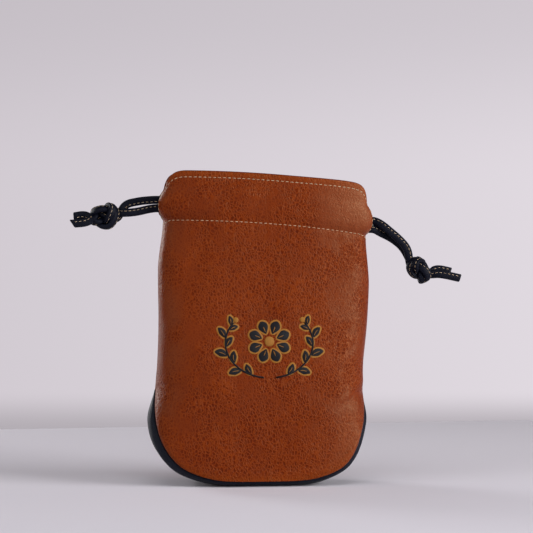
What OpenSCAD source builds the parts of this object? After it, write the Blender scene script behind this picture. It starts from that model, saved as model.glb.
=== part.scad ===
// Leather drawstring pouch: two panels on a pointed gusset, a slit collar and two knotted drawcords.
// Frame: X to the right, Y to the back, Z up, origin on the ground under the middle of the pouch.

/* [Pouch] */
// Width of the front between the side seams
pouch_w = 129; // [119:1:139]
// Height of the rim at its high left end
pouch_h = 189.5; // [179.5:0.5:201]
// Depth of the standing base
base_d = 50; // [44:1:56]
// Depth of the collar outside
mouth_d = 33; // [31:0.5:37]
// How much lower the rim stands at its right end
rim_drop = 9.5; // [0:0.5:12]
// How far the pouch leans to the right from its base to the channel row
lean_x = 3; // [0:0.5:5]
// How far the lower body slumps to the left
slump_x = 2.2; // [0:0.2:4]
// Thickness of the outer leather
leather_t = 1.4; // [1.2:0.1:1.8]
// Thickness of the lining
lining_t = 0.8; // [0.6:0.1:1.2]
// Squareness of the plan outline, 2 is an ellipse
plan_n = 3; // [2.6:0.1:3.4]

/* [Gusset] */
// Height of the seam between front and bottom over the ground
seam_z = 3.5; // [3:0.5:5]
// Height at which the gusset comes to a point
tip_z = 58; // [53:1:64]
// Half length of the straight part of the bottom seam
base_half = 16; // [12:1:22]
// Height of the rounded lower corner
corner_rz = 52; // [46:1:53]
// Squareness of the lower corner, 2 is an ellipse
corner_n = 2.5; // [2:0.1:3]
// How much narrower each side is in the lower half than above
foot_in = 2; // [0:0.2:3]

/* [Collar] */
// Height of the collar above the channel row
casing_h = 30; // [29:1:34]
// Half gap between the slit lips at the channel row
lip_gap = 2.3; // [2.2:0.1:3]
// Angle that each collar leans in until the lips close on the cords
lean_deg = 12; // [8:0.5:13]
// Drop of the rounded rim corners at the slits
rim_round = 12; // [6:0.5:14]
// How much taller the collar is on its right half
rim_rise = 0.9; // [0:0.1:1.5]
// Distance of the rim's stitch row from the rim
rim_stitch = 4; // [3:0.5:5]
// Thickness of the inner facing
facing_t = 1; // [0.8:0.1:1.2]
// How far the slit lips stand out past the channel row
lip_out = 3; // [1:0.5:4]
// How far the collar draws in at the rim
rim_in = 1; // [0:0.5:2]

/* [Cords] */
// Width of the folded lace
lace_w = 4.7; // [4.4:0.1:4.8]
// Thickness of the folded lace
lace_t = 3.4; // [3:0.1:3.6]
// Height of the left cord's ring above the channel row
low_h = 7; // [6.8:0.1:7.2]
// Height of the right cord's ring above the channel row
high_h = 13; // [12.8:0.1:13.2]
// Distance between the two strands of a cord where they leave the slit
pair_h = 5; // [4.9:0.1:5.4]
// How far the right cord's strands droop in their slit
droop = 2.8; // [2.4:0.1:3]
// Thickness of the knotted pair in the knots
knot_d = 4.4; // [4:0.1:4.5]

/* [Hidden] */
tan_leather = [0.46, 0.2, 0.09];
suede = [0.5, 0.32, 0.2];
navy_leather = [0.08, 0.085, 0.13];
lining_cloth = [0.42, 0.36, 0.3];
lace_navy = [0.06, 0.065, 0.11];

front = -1;
back = 1;
left = -1;
right = 1;

// Clearance between layers and at the sewn edges
gap = 0.3;
// Height of the channel row over the base at the left side
row_z = pouch_h - casing_h;
// Half depth of the bottom seam, and of the panels just over it
seam_half = base_d/2 - 0.5;
belly_half = base_d/2 + 1.3;
// The lower corner: its horizontal reach and the height where the side turns upright
corner_rx = pouch_w/2 - foot_in - base_half;
corner_z = seam_z + corner_rz;
// The side seams draw in by this much at the channel row, over this height
waist = 2.5;
waist_h = 30;
// Between these heights the sides widen from the narrower lower half
foot_z = [70, 135];
// The pouch is full up to this height, and sags above the other
belly_z = 40;
sag_z = 20;
// The slump is greatest between the first two heights, and gone at the third
slump_z = [35, 45, 110];
// The gusset's edges bow outward by this power, and it sinks into the side over this height under its tip
bow_n = 1.6;
fade_h = 20;
// The lining lies this far inside the leather
lining_gap = 0.5;
// The front of the cord channel stands this far from its back
channel = lace_t + 1;
// Share of the collar's half outline that the facing and the cord runs cover
facing_u = 0.6;
run_u = 0.56;
// Share of the half outline where the rim begins to round down
rim_u = 0.5;
// Share of the gusset's half width that is flat
flat_v = 0.62;
// The gusset is cut blunt this far below its tip
tip_cut = 3;

function clamp01(t) = max(0, min(1, t));
function ramp(a, b, x) = let (t = clamp01((x - a)/(b - a))) t*t*(3 - 2*t);
function mix(a, b, t) = a + (b - a)*t;
function unit(v) = v/norm(v);

// Superellipse outline of a plan section, u from -1 at the left edge to 1 at the right edge
function plan_x(u) = sign(u)*pow(sin(90*abs(u)), 2/plan_n);
function plan_y(u) = pow(max(0, cos(90*u)), 2/plan_n);

// The pouch leans and sags to the right: the fall grows across the width and fades out toward the base
function drop(x) = rim_drop*pow(clamp01(x/pouch_w + 0.5), 2.3);
function slump(z) = slump_x*ramp(0, slump_z[0], z)*(1 - ramp(slump_z[1], slump_z[2], z));
function sag(p) = [
  p.x + lean_x*(p.z/row_z - 0.5) - slump(p.z),
  p.y,
  p.z - drop(p.x)*ramp(sag_z, 0.8*row_z, p.z)
];

// Body outline at height z: half width at the seam, half depth, half width of the gusset
function corner(t) = pow(max(0, 1 - pow(t, corner_n)), 1/corner_n);
function half_w(z) = z < corner_z
  ? base_half + corner_rx*corner((corner_z - z)/corner_rz)
  : pouch_w/2 - foot_in*(1 - ramp(foot_z[0], foot_z[1], z)) - waist*ramp(row_z - waist_h, row_z, z);
function half_d(z) = mix(belly_half, mouth_d/2, ramp(belly_z, row_z, z));
function seam_y(z) = seam_half*(1 - pow(clamp01((z - seam_z)/(tip_z - seam_z)), bow_n));

// Point of a panel at outline share u and height z, a depth o under its outer face
function panel_pt(u, z, o, side) = let (edge = seam_y(z) + gap) sag([
  (half_w(z) - o)*plan_x(u),
  side*(edge + (half_d(z) - o - edge)*plan_y(u)),
  z
]);

// Seam line of the gusset from the left tip to the right tip: x, z and the outward direction
function arc_z(a) = corner_z - corner_rz*pow(cos(a), 2/corner_n);
function arc_seam(a, s) =
  let (n = unit([pow(sin(a), 2 - 2/corner_n)/corner_rx, pow(cos(a), 2 - 2/corner_n)/corner_rz]))
  [s*(base_half + corner_rx*pow(sin(a), 2/corner_n)), arc_z(a), s*n.x, -n.y];
arc_steps = [for (a = [9, 18, 27, 36, 46, 56, 66, 75, 83]) if (arc_z(a) < tip_z - 2*tip_cut) a];
last_step = len(arc_steps) - 1;
function tip_seam(s) = [s*half_w(tip_z - tip_cut), tip_z - tip_cut, s, 0];
function seam_line() = [
  tip_seam(left),
  for (i = [last_step:-1:0]) arc_seam(arc_steps[i], left),
  for (x = [-base_half:base_half/2:base_half]) [x, seam_z, 0, -1],
  for (a = arc_steps) arc_seam(a, right),
  tip_seam(right)
];
// The gusset stands proud of its seams as a flat band with rounded edges
function proud(z) = seam_z*(1 - 0.85*ramp(tip_z - fade_h, tip_z, z));
function band(v) = sqrt(1 - pow(max(0, (abs(v) - flat_v)/(1 - flat_v)), 2));
function gusset_pt(s, v, o) = let (b = proud(s[1])*band(v) - o) sag([
  s[0] + s[2]*b, seam_y(s[1])*v, s[1] + s[3]*b
]);

// Collar outline at height h over the channel row
function collar_w(h) = half_w(row_z) + lip_out*sin(180*clamp01(h/(0.62*casing_h)))
  - rim_in*ramp(0.4*casing_h, 0.9*casing_h, h);
function collar_d(h) = mouth_d/2 + 0.6*sin(180*clamp01(h/casing_h));
function lip_y(h) = lip_gap + h*tan(lean_deg);
function rim_h(u) = casing_h + rim_rise*ramp(0, rim_u, u)
  - rim_round*pow(max(0, (abs(u) - rim_u)/(1 - rim_u)), u < 0 ? 2 : 3);
function collar_pt(u, h, o, side) = sag([
  (collar_w(h) - o)*plan_x(u),
  side*(lip_y(h) + (collar_d(h) - o - lip_y(h))*plan_y(u)),
  row_z + h
]);
// The casing's lower edge lifts a little toward the lips, so that it can tip over the panel's edge
function casing_h0(u) = gap + 0.6*pow(abs(u), 4);
// Height at which the facing lies against the casing again, just under the rim's stitch row
facing_close = casing_h - rim_stitch - 1;
// Depth of the facing's outer face: close at both stitch rows, a channel's width away between them
function facing_o(h) = leather_t + gap
  + channel*ramp(gap, low_h - lace_w/2, h)*(1 - ramp(high_h + lace_w/2, facing_close, h));
// Depth of the middle of a cord run
run_o = leather_t + gap + channel/2;

// Shell between two grids of points with equal rows, outer face first
module shell(outer, inner, flip) {
  m = len(outer);
  n = len(outer[0]);
  all = concat([for (r = outer) each r], [for (r = inner) each r]);
  k = m*n;
  quads = [
    for (i = [0:m - 2], j = [0:n - 2]) [i*n + j, i*n + j + 1, (i + 1)*n + j + 1, (i + 1)*n + j],
    for (i = [0:m - 2], j = [0:n - 2])
      [k + i*n + j, k + (i + 1)*n + j, k + (i + 1)*n + j + 1, k + i*n + j + 1],
    for (j = [0:n - 2]) [j, k + j, k + j + 1, j + 1],
    for (j = [0:n - 2]) let (b = (m - 1)*n + j) [b, b + 1, k + b + 1, k + b],
    for (i = [0:m - 2]) let (a = i*n, b = (i + 1)*n) [a, b, k + b, k + a],
    for (i = [0:m - 2]) let (a = i*n + n - 1, b = (i + 1)*n + n - 1) [a, k + a, k + b, b]
  ];
  tris = [for (q = quads) each [[q[0], q[1], q[2]], [q[0], q[2], q[3]]]];
  polyhedron(all, flip ? [for (t = tris) [t[2], t[1], t[0]]] : tris, convexity = 8);
}

// Tube of oblong section swept along a route; its wide side stays close to upright
module tube(route, w, t, sides = 8) {
  n = len(route);
  rings = [
    for (i = [0:n - 1])
      let (
        d = unit(route[min(n - 1, i + 1)] - route[max(0, i - 1)]),
        s = unit(cross(d, [0, 0, 1])),
        u = cross(s, d)
      )
      for (k = [0:sides - 1])
        let (a = 360*(k + 0.5)/sides, r = 1/cos(180/sides))
        route[i] + s*(t/2*r*cos(a)) + u*(w/2*r*sin(a))
  ];
  walls = [
    for (i = [0:n - 2], k = [0:sides - 1])
      let (a = i*sides + k, b = i*sides + (k + 1)%sides)
      each [[a, b, b + sides], [a, b + sides, a + sides]]
  ];
  caps = [[for (k = [sides - 1:-1:0]) k], [for (k = [0:sides - 1]) (n - 1)*sides + k]];
  polyhedron(rings, concat(walls, caps), convexity = 8);
}

// Smooth routes: a curve through chosen points, and a curve between two ends with given headings
function through(p, k) = [
  for (i = [0:len(p) - 2], j = [0:k - 1])
    let (
      a = p[max(0, i - 1)], b = p[i], c = p[i + 1], d = p[min(len(p) - 1, i + 2)],
      t = j/k
    )
    (2*b + (c - a)*t + (2*a - 5*b + 4*c - d)*t*t + (3*b - a - 3*c + d)*t*t*t)/2,
  p[len(p) - 1]
];
function bend(a, a_to, b, b_to, k) = [
  for (i = [0:k])
    let (t = i/k, q = 1 - t)
    a*q*q*q + (a + a_to)*3*q*q*t + (b + b_to)*3*q*t*t + b*t*t*t
];
function offset_all(p, by) = [for (q = p) q + by];

u_panel = [for (j = [-11:11]) j/11];
z_panel = concat(
  [seam_z],
  [for (a = arc_steps) arc_z(a)],
  [tip_z - tip_cut],
  [for (i = [0:9]) mix(tip_z, row_z, i/9)]
);
u_lining = [for (j = [-7:7]) 0.88*j/7];
lining_z0 = seam_z + leather_t + 1.2;
z_lining = concat(
  [for (i = [0:3]) lining_z0 + (tip_z - lining_z0)*(i/4)*(i/4)],
  [for (i = [0:5]) mix(tip_z, row_z - 2, i/5)]
);
v_gusset = [-1, -0.97, -0.9, -0.78, -flat_v, 0, flat_v, 0.78, 0.9, 0.97, 1];
v_base = [-0.88, -flat_v, 0, flat_v, 0.88];
u_casing = [for (j = [-13:13]) j/13];
u_facing = [for (j = [-10:10]) facing_u*j/10];
h_facing = [
  3*gap, low_h - lace_w/2, (low_h + high_h)/2, high_h + lace_w/2,
  mix(high_h + lace_w/2, facing_close, 0.5), facing_close, casing_h - 3*gap
];

module panel(side) {
  shell(
    [for (z = z_panel) [for (u = u_panel) panel_pt(u, z, 0, side)]],
    [for (z = z_panel) [for (u = u_panel) panel_pt(u, z, leather_t, side)]],
    side == front
  );
}

module lining(side) {
  o = leather_t + lining_gap;
  shell(
    [for (z = z_lining) [for (u = u_lining) panel_pt(u, z, o, side)]],
    [for (z = z_lining) [for (u = u_lining) panel_pt(u, z, o + lining_t, side)]],
    side == front
  );
}

module strip(v_list, o, t, line) {
  shell(
    [for (s = line) [for (v = v_list) gusset_pt(s, v, o)]],
    [for (s = line) [for (v = v_list) gusset_pt(s, v, o + t)]],
    false
  );
}

module casing(side) {
  shell(
    [for (i = [0:7]) [for (u = u_casing) collar_pt(u, mix(casing_h0(u), rim_h(u), i/7), 0, side)]],
    [for (i = [0:7]) [for (u = u_casing) collar_pt(u, mix(casing_h0(u), rim_h(u), i/7), leather_t, side)]],
    side == front
  );
}

module facing(side) {
  shell(
    [for (h = h_facing) [for (u = u_facing) collar_pt(u, h, facing_o(h), side)]],
    [for (h = h_facing) [for (u = u_facing) collar_pt(u, h, facing_o(h) + facing_t, side)]],
    side == front
  );
}

// One cord run inside a channel, at height h
function run_pt(u, h, side) = collar_pt(u, h, run_o, side);
module run(h, side) {
  tube([for (j = [-6:6]) run_pt(run_u*j/6, h, side)], lace_w, lace_t);
}

// The end of a run and its heading toward the slit on the given hand
function run_end(h, side, hand) = run_pt(hand*(run_u + 0.015), h, side);
function run_way(h, side, hand) = unit(run_pt(hand*(run_u + 0.01), h, side) - run_pt(hand*run_u, h, side));

// Cord loop across the slit on the given hand, from the front channel to the back channel
loop_in = 9.5;
module loop(h, hand) {
  a = run_end(h, front, hand);
  b = run_end(h, back, hand);
  m = sag([hand*(collar_w(h) - loop_in), 0, row_z + h]);
  tube(
    concat(
      bend(a, run_way(h, front, hand)*4, m, [0, -5, 0], 6),
      [for (p = bend(m, [0, 5, 0], b, run_way(h, back, hand)*4, 6)) if (p != m) p]
    ),
    lace_w, lace_t
  );
}

// Where the two strands of a cord leave the slit, in order front strand, back strand
exit_h = (low_h + high_h)/2;
exit_x = collar_w(exit_h) + 1;
left_exit_h = [exit_h - pair_h/2, exit_h + pair_h/2];
right_exit_h = [exit_h - droop + pair_h/2, exit_h - droop - pair_h/2];
function exit_at(hand, h) = sag([hand*exit_x, 0, row_z + h]);
left_exit = exit_at(left, (left_exit_h[0] + left_exit_h[1])/2);
right_exit = exit_at(right, (right_exit_h[0] + right_exit_h[1])/2);

// A lead bends from the channel to the slit, and changes height once it is past the other cord's loop
module lead(h, side, hand, to_h) {
  a = run_end(h, side, hand);
  b = exit_at(hand, h);
  flat = bend(a, run_way(h, side, hand)*8, b, [-hand*9, 0, 0], 12);
  tube([for (i = [0:12]) flat[i] + [0, 0, (to_h - h)*ramp(0.5, 0.78, i/12)]], lace_w, lace_t);
}

// Routes of the free ends, from the middle of the exit of their cord
lf_stem = [[-1.3, 0, -2.5], [-6, -0.9, -4.3], [-12, -1.6, -5], [-19, -1.8, -5.4], [-25.5, -1.9, -6]];
lb_stem = [[-0.9, 0, 2.5], [-6, 0.8, 2.6], [-12, 1.8, 1.6], [-19, 2, -0.7], [-26, 2, -3.6]];
lf_tail = [[-37, -2.2, -10], [-43.5, -2.2, -11], [-54, -2.2, -11.9]];
lb_tail = [[-36, 2, -6], [-43.5, 2, -6.8], [-52, 2, -7.5]];
left_knot_at = [-31, 0, -7.4];
rf_stem = [[1.5, 0, 2.5], [5.5, -1.7, 0.4], [11, -2.1, -4.2], [17.5, -2.1, -10.2], [26, -2, -23]];
rb_stem = [[1.4, 0, -2.5], [6, 1.7, -4.9], [12, 2.1, -7.8], [18, 2.1, -12.6], [24.4, 2.1, -21.4]];
rf_tail = [[34.5, -2.2, -28.8], [42.5, -2.2, -30], [54.3, -2.2, -32]];
rb_tail = [[34.5, 2, -25.4], [41.5, 2, -26.4], [49.2, 2, -27.8]];
right_knot_at = [29, 0, -27.2];
right_knot_tilt = 20;

// Overhand knot: three cosines of one angle, with 3, 4 and 5 half turns, run once through each crossing
knot_r = [1.52*knot_d, 1.34*knot_d, 1.32*knot_d];
function knot_pt(a, hand) = [-hand*knot_r.x*cos(3*a), hand*knot_r.z*cos(5*a), knot_r.y*cos(4*a)];
module knot(at, hand, tilt) {
  translate(at) rotate([0, tilt, 0]) knot_tube([for (i = [0:46]) knot_pt(12 + 156*i/46, hand)]);
}

// Round tube whose rings turn with the knot's own plane
module knot_tube(route) {
  n = len(route);
  rings = [
    for (i = [0:n - 1])
      let (
        d = unit(route[min(n - 1, i + 1)] - route[max(0, i - 1)]),
        s = unit(cross(d, [0, 1, 0])),
        u = cross(s, d)
      )
      for (k = [0:7])
        let (a = 45*k)
        route[i] + (s*cos(a) + u*sin(a))*knot_d/2
  ];
  walls = [
    for (i = [0:n - 2], k = [0:7])
      let (a = i*8 + k, b = i*8 + (k + 1)%8)
      each [[a, b, b + 8], [a, b + 8, a + 8]]
  ];
  caps = [[for (k = [7:-1:0]) k], [for (k = [0:7]) (n - 1)*8 + k]];
  polyhedron(rings, concat(walls, caps), convexity = 8);
}

module end_strand(points, at) {
  tube(offset_all(through(points, 3), at), lace_w - 0.2, lace_t);
}

module front_panel() color(tan_leather) panel(front);
module back_panel() color(tan_leather) panel(back);
module gusset() color(navy_leather) strip(v_gusset, 0, leather_t, seam_line());
module front_lining() color(lining_cloth) lining(front);
module back_lining() color(lining_cloth) lining(back);
module base_lining() color(lining_cloth)
  strip(v_base, leather_t + lining_gap, lining_t, [for (s = seam_line()) if (s[1] < 0.7*tip_z) s]);
module front_casing() color(tan_leather) casing(front);
module back_casing() color(tan_leather) casing(back);
module front_facing() color(suede) facing(front);
module back_facing() color(suede) facing(back);

module left_cord_front_run() color(lace_navy) run(low_h, front);
module left_cord_back_run() color(lace_navy) run(low_h, back);
module left_cord_loop() color(lace_navy) loop(low_h, right);
module left_front_lead() color(lace_navy) lead(low_h, front, left, left_exit_h[0]);
module left_back_lead() color(lace_navy) lead(low_h, back, left, left_exit_h[1]);
module left_front_stem() color(lace_navy) end_strand(lf_stem, left_exit);
module left_back_stem() color(lace_navy) end_strand(lb_stem, left_exit);
module left_knot() color(lace_navy) knot(left_exit + left_knot_at, left, 0);
module left_front_tail() color(lace_navy) end_strand(lf_tail, left_exit);
module left_back_tail() color(lace_navy) end_strand(lb_tail, left_exit);

module right_cord_front_run() color(lace_navy) run(high_h, front);
module right_cord_back_run() color(lace_navy) run(high_h, back);
module right_cord_loop() color(lace_navy) loop(high_h, left);
module right_front_lead() color(lace_navy) lead(high_h, front, right, right_exit_h[0]);
module right_back_lead() color(lace_navy) lead(high_h, back, right, right_exit_h[1]);
module right_front_stem() color(lace_navy) end_strand(rf_stem, right_exit);
module right_back_stem() color(lace_navy) end_strand(rb_stem, right_exit);
module right_knot() color(lace_navy) knot(right_exit + right_knot_at, right, right_knot_tilt);
module right_front_tail() color(lace_navy) end_strand(rf_tail, right_exit);
module right_back_tail() color(lace_navy) end_strand(rb_tail, right_exit);

front_panel();
back_panel();
gusset();
front_lining();
back_lining();
base_lining();
front_casing();
back_casing();
front_facing();
back_facing();
left_cord_front_run();
left_cord_back_run();
left_cord_loop();
left_front_lead();
left_back_lead();
left_front_stem();
left_back_stem();
left_knot();
left_front_tail();
left_back_tail();
right_cord_front_run();
right_cord_back_run();
right_cord_loop();
right_front_lead();
right_back_lead();
right_front_stem();
right_back_stem();
right_knot();
right_front_tail();
right_back_tail();
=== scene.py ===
"""Dresses a leather drawstring pouch: grained skins, turned seams, topstitching and knotted laces.

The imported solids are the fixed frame. Shape functions work in millimetres, in the frame's own axes
(X to the right, Y to the back, Z up), and meshes are in metres.
"""

import bpy
import numpy as np
from bpy.props import FloatProperty, FloatVectorProperty, PointerProperty
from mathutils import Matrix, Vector


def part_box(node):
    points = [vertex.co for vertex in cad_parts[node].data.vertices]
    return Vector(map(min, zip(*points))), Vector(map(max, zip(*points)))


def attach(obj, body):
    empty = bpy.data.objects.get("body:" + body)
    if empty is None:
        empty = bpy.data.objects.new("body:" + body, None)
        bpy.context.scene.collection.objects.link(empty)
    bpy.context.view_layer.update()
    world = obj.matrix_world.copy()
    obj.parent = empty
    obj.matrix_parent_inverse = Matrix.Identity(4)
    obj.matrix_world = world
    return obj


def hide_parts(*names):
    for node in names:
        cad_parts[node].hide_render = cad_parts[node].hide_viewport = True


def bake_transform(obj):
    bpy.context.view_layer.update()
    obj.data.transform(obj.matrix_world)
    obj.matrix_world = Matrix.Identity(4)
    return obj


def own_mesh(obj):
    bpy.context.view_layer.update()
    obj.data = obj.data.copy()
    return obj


bl_info = {
    "name": "Leather Drawstring Pouch",
    "version": (1, 0, 0),
    "blender": (4, 5, 0),
    "location": "3D View > Sidebar > Pouch",
    "description": "Builds a stitched leather pouch with two knotted drawcords over its solids",
    "category": "Add Mesh",
}

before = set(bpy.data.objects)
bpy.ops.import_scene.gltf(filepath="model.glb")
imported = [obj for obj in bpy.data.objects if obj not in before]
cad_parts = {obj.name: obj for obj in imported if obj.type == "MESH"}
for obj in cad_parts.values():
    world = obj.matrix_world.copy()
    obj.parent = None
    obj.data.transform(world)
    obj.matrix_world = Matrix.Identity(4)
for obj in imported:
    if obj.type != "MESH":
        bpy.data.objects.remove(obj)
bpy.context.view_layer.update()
MM = 0.001
FRONT, BACK = -1, 1
LEFT, RIGHT = -1, 1
SIDES = ((FRONT, "front"), (BACK, "back"))


def frame_mm(node, corner, axis):
    """One coordinate of a solid's box in millimetres, to a tenth."""
    return round(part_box(node)[corner][axis] / MM, 1)


# Body of the pouch, from the solids and their driving sizes
POUCH_W = 129
SEAM_Z = frame_mm("front_panel", 0, 2)
SEAM_HALF = frame_mm("gusset", 1, 1)
ROW_Z = frame_mm("front_panel", 1, 2)
BELLY_HALF = SEAM_HALF + 1.8
MOUTH_HALF = 16.5
RIM_DROP, DROP_POWER = 9.5, 2.3
SWAY = 3
SLUMP, SLUMP_Z = 2.2, (35, 45, 110)
FILL, FILL_X, FILL_FADE = 1.1, (28, 52), 26
FILL_LEFT_Z, FILL_RIGHT_Z = 38.0, 56.0
FILL_DOWN, FILL_DOWN_Z = 0.85, (18, 45)
LEATHER_T = 1.4
PLAN_N = 3
TIP_Z = 58
BASE_HALF = 16
FOOT_IN, FOOT_Z = 2, (70, 135)
CORNER_RZ, CORNER_N = 52, 2.5
CORNER_RX = POUCH_W / 2 - FOOT_IN - BASE_HALF
CORNER_Z = SEAM_Z + CORNER_RZ
WAIST, WAIST_H = 2.5, 30
BELLY_Z, SAG_Z = 40, 20
BOW_N, FADE_H, TIP_SINK = 1.6, 20, 0.85
FLAT_V = 0.62
GAP = 0.3

# Collar and its cord channel
CASING_H, CASING_FULL = 30, 0.6
EDGE_OPENS = (-1.5, 3.5)
LIP_GAP = 2.3
LEAN = np.radians(12)
LIP_OUT, LIP_SHARE = 3, 0.62
RIM_IN = 1
RIM_ROUND, RIM_U, RIM_RISE = 12, 0.5, 0.9
RIM_STITCH = 4
FACING_T = 1
FACING_U, FACING_TOP_U, FACING_WIDENS = 0.6, 0.9, (17, 23.5)

# Laces
LACE_T = 3.4
LACE_W = 4.7
LOW_H, HIGH_H, PAIR_H, DROOP = 7, 13, 5, 2.8
CHANNEL = LACE_T + 1
RUN_O = LEATHER_T + GAP + CHANNEL / 2
RUN_U, RUN_OVER = 0.56, 0.012
LEAD_SINK = 0.09
LOOP_IN = 9.5
FACING_CLOSE = CASING_H - RIM_STITCH - 1
LACE_STITCH, LACE_GROOVE = 0.2, 0.3
PULL = 15

# Line where the table ends behind the pouch, in metres, and its slant
WALL_Y, WALL_SLANT = 0.43, 0.1


# Shape of the pouch

def ramp(a, b, x):
    """Smooth step from 0 at a to 1 at b."""
    t = np.clip((x - a) / (b - a), 0, 1)
    return t * t * (3 - 2 * t)


def unit(v):
    """Vectors along the last axis, scaled to length one."""
    return v / np.maximum(np.linalg.norm(v, axis=-1, keepdims=True), 1e-12)


def stack(x, y, z):
    """Points from three coordinate arrays of any shapes that broadcast."""
    return np.stack(np.broadcast_arrays(x, y, z), -1).astype(float)


def plan_x(u):
    """Superellipse outline across the pouch: sine to the power 2/n of a quarter turn times u."""
    return np.sign(u) * np.sin(np.pi / 2 * np.abs(u)) ** (2 / PLAN_N)


def plan_y(u):
    """Superellipse outline in depth: cosine to the power 2/n of a quarter turn times u."""
    return np.maximum(0, np.cos(np.pi / 2 * u)) ** (2 / PLAN_N)


def drop(x):
    """How far the rim has sunk at x: it grows across the width from left to right."""
    return RIM_DROP * np.clip(x / POUCH_W + 0.5, 0, 1) ** DROP_POWER


def sway(z):
    """How far the pouch stands to the right at height z: a lean, less a slump to the left low down."""
    low, full, gone = SLUMP_Z
    return SWAY * (z / ROW_Z - 0.5) - SLUMP * ramp(0, low, z) * (1 - ramp(full, gone, z))


def sag(x, z):
    """How far the point at x and z hangs lower than it was cut, which fades out toward the base."""
    return drop(x) * ramp(SAG_Z, 0.8 * ROW_Z, z)


def filled(x, z):
    """How far the filled lower corners stand out sideways, higher up at the right, and down."""
    amount = FILL * ramp(*FILL_X, np.abs(x))
    top = np.where(x < 0, FILL_LEFT_Z, FILL_RIGHT_Z)
    out = np.sign(x) * amount * ramp(0, 12, z) * (1 - ramp(top, top + FILL_FADE, z))
    return out, FILL_DOWN * amount * ramp(0, 14, z) * (1 - ramp(*FILL_DOWN_Z, z))


def sagged(p):
    """Points moved by the lean and the fill of the lower corners, and lowered by the sag."""
    x, y, z = np.moveaxis(p, -1, 0)
    out, down = filled(x, z)
    return stack(x + sway(z) + out, y, z - sag(x, z) - down)


def corner_line(a):
    """Cut x and z of the lower corner, a superellipse quarter, at angles a from bottom to side."""
    x = BASE_HALF + CORNER_RX * np.sin(a) ** (2 / CORNER_N)
    return x, CORNER_Z - CORNER_RZ * np.cos(a) ** (2 / CORNER_N)


def half_w(z):
    """Half width at the side seam: the lower corner, then upright, wider higher up, drawn in on top."""
    t = np.clip((CORNER_Z - z) / CORNER_RZ, 0, 1)
    low = BASE_HALF + CORNER_RX * (1 - t**CORNER_N) ** (1 / CORNER_N)
    narrow = FOOT_IN * (1 - ramp(*FOOT_Z, z)) + WAIST * ramp(ROW_Z - WAIST_H, ROW_Z, z)
    return np.where(z < CORNER_Z, low, POUCH_W / 2 - narrow)


def half_d(z):
    """Half depth of the panels: full low down, flatter toward the mouth."""
    return BELLY_HALF + (MOUTH_HALF - BELLY_HALF) * ramp(BELLY_Z, ROW_Z, z)


def seam_y(z):
    """Half width of the gusset, whose bowed edges run to a point up the side."""
    return SEAM_HALF * (1 - np.clip((z - SEAM_Z) / (TIP_Z - SEAM_Z), 0, 1) ** BOW_N)


def collar_w(h):
    """Half width of the collar at height h over the channel row: the slit lips stand out a little."""
    full = LIP_OUT * np.sin(np.pi * np.clip(h / (LIP_SHARE * CASING_H), 0, 1))
    return half_w(ROW_Z) + full - RIM_IN * ramp(0.4 * CASING_H, 0.9 * CASING_H, h)


def collar_d(h):
    """Half depth of the collar, slightly full over the cord channel."""
    return MOUTH_HALF + CASING_FULL * np.sin(np.pi * np.clip(h / CASING_H, 0, 1))


def lip_y(h):
    """Half gap of the slit, which opens upward."""
    return LIP_GAP + np.maximum(h, 0) * np.tan(LEAN)


def rim_h(u):
    """Height of the rim over the channel row: a little up at the right, rounded down to the slits."""
    t = np.maximum(0, (np.abs(u) - RIM_U) / (1 - RIM_U))
    return CASING_H + RIM_RISE * ramp(0, RIM_U, u) - RIM_ROUND * np.where(u < 0, t**2.5, t**3)


def edge_y(z):
    """Half gap between front and back edges: beside the gusset, shut above its tip, then the slit."""
    h = z - ROW_Z
    beside = GAP * (1 - ramp(TIP_Z - 8, TIP_Z, z))
    return seam_y(z) + beside + lip_y(h) * ramp(*EDGE_OPENS, h)


def cut_wall(u, z, o, side):
    """Point of a panel and collar before it sags, at outline share u and height z, o under its face.

    Across: half width times plan_x. In depth: from the edge, at the seam or the lip, to the half depth
    by plan_y.
    """
    h = z - ROW_Z
    w = np.where(h < 0, half_w(z), collar_w(h)) - o
    d = np.where(h < 0, half_d(z), collar_d(h)) - o
    return stack(w * plan_x(u), side * (edge_y(z) + (d - edge_y(z)) * plan_y(u)), z)


def wall(u, z, o, side):
    """Point of a panel and its collar as it hangs."""
    return sagged(cut_wall(u, z, o, side))


def edge_distance(z, p):
    """Distance of cut points from the seam or the slit, across the outline and in depth."""
    h = z - ROW_Z
    x, y = np.abs(p[..., 0]), np.abs(p[..., 1])
    rx = np.maximum(0, x - BASE_HALF) / CORNER_RX
    rz = np.maximum(0, CORNER_Z - z) / CORNER_RZ
    rho = np.maximum(rx**CORNER_N + rz**CORNER_N, 1e-9) ** (1 / CORNER_N)
    slope = np.hypot((rx / rho) ** (CORNER_N - 1) / CORNER_RX, (rz / rho) ** (CORNER_N - 1) / CORNER_RZ)
    corner = (1 - rho) / np.maximum(slope, 1e-9)
    upright = np.where(h < 0, half_w(z), collar_w(h)) - x
    across = np.where(z < CORNER_Z, corner, upright)
    return np.hypot(np.maximum(across, 0), y - edge_y(z))


def seam_line(top):
    """Gusset seam from a height on the left round to the right: x, z and the way outward."""
    a = np.linspace(0, np.pi / 2, 1500)
    x, z = corner_line(a)
    lean = unit(np.stack([
        np.sin(a) ** (2 - 2 / CORNER_N) / CORNER_RX, -np.cos(a) ** (2 - 2 / CORNER_N) / CORNER_RZ
    ], 1))
    rise = np.linspace(CORNER_Z, max(top, CORNER_Z + 0.1), 30)[1:]
    half = np.concatenate([
        [[0, SEAM_Z, 0, -1]],
        np.column_stack([x, z, lean]),
        np.column_stack([half_w(rise), rise, np.ones(29), np.zeros(29)]),
    ])
    half = half[half[:, 1] <= top]
    return np.concatenate([half[:0:-1] * [-1, 1, -1, 1], half])


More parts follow.
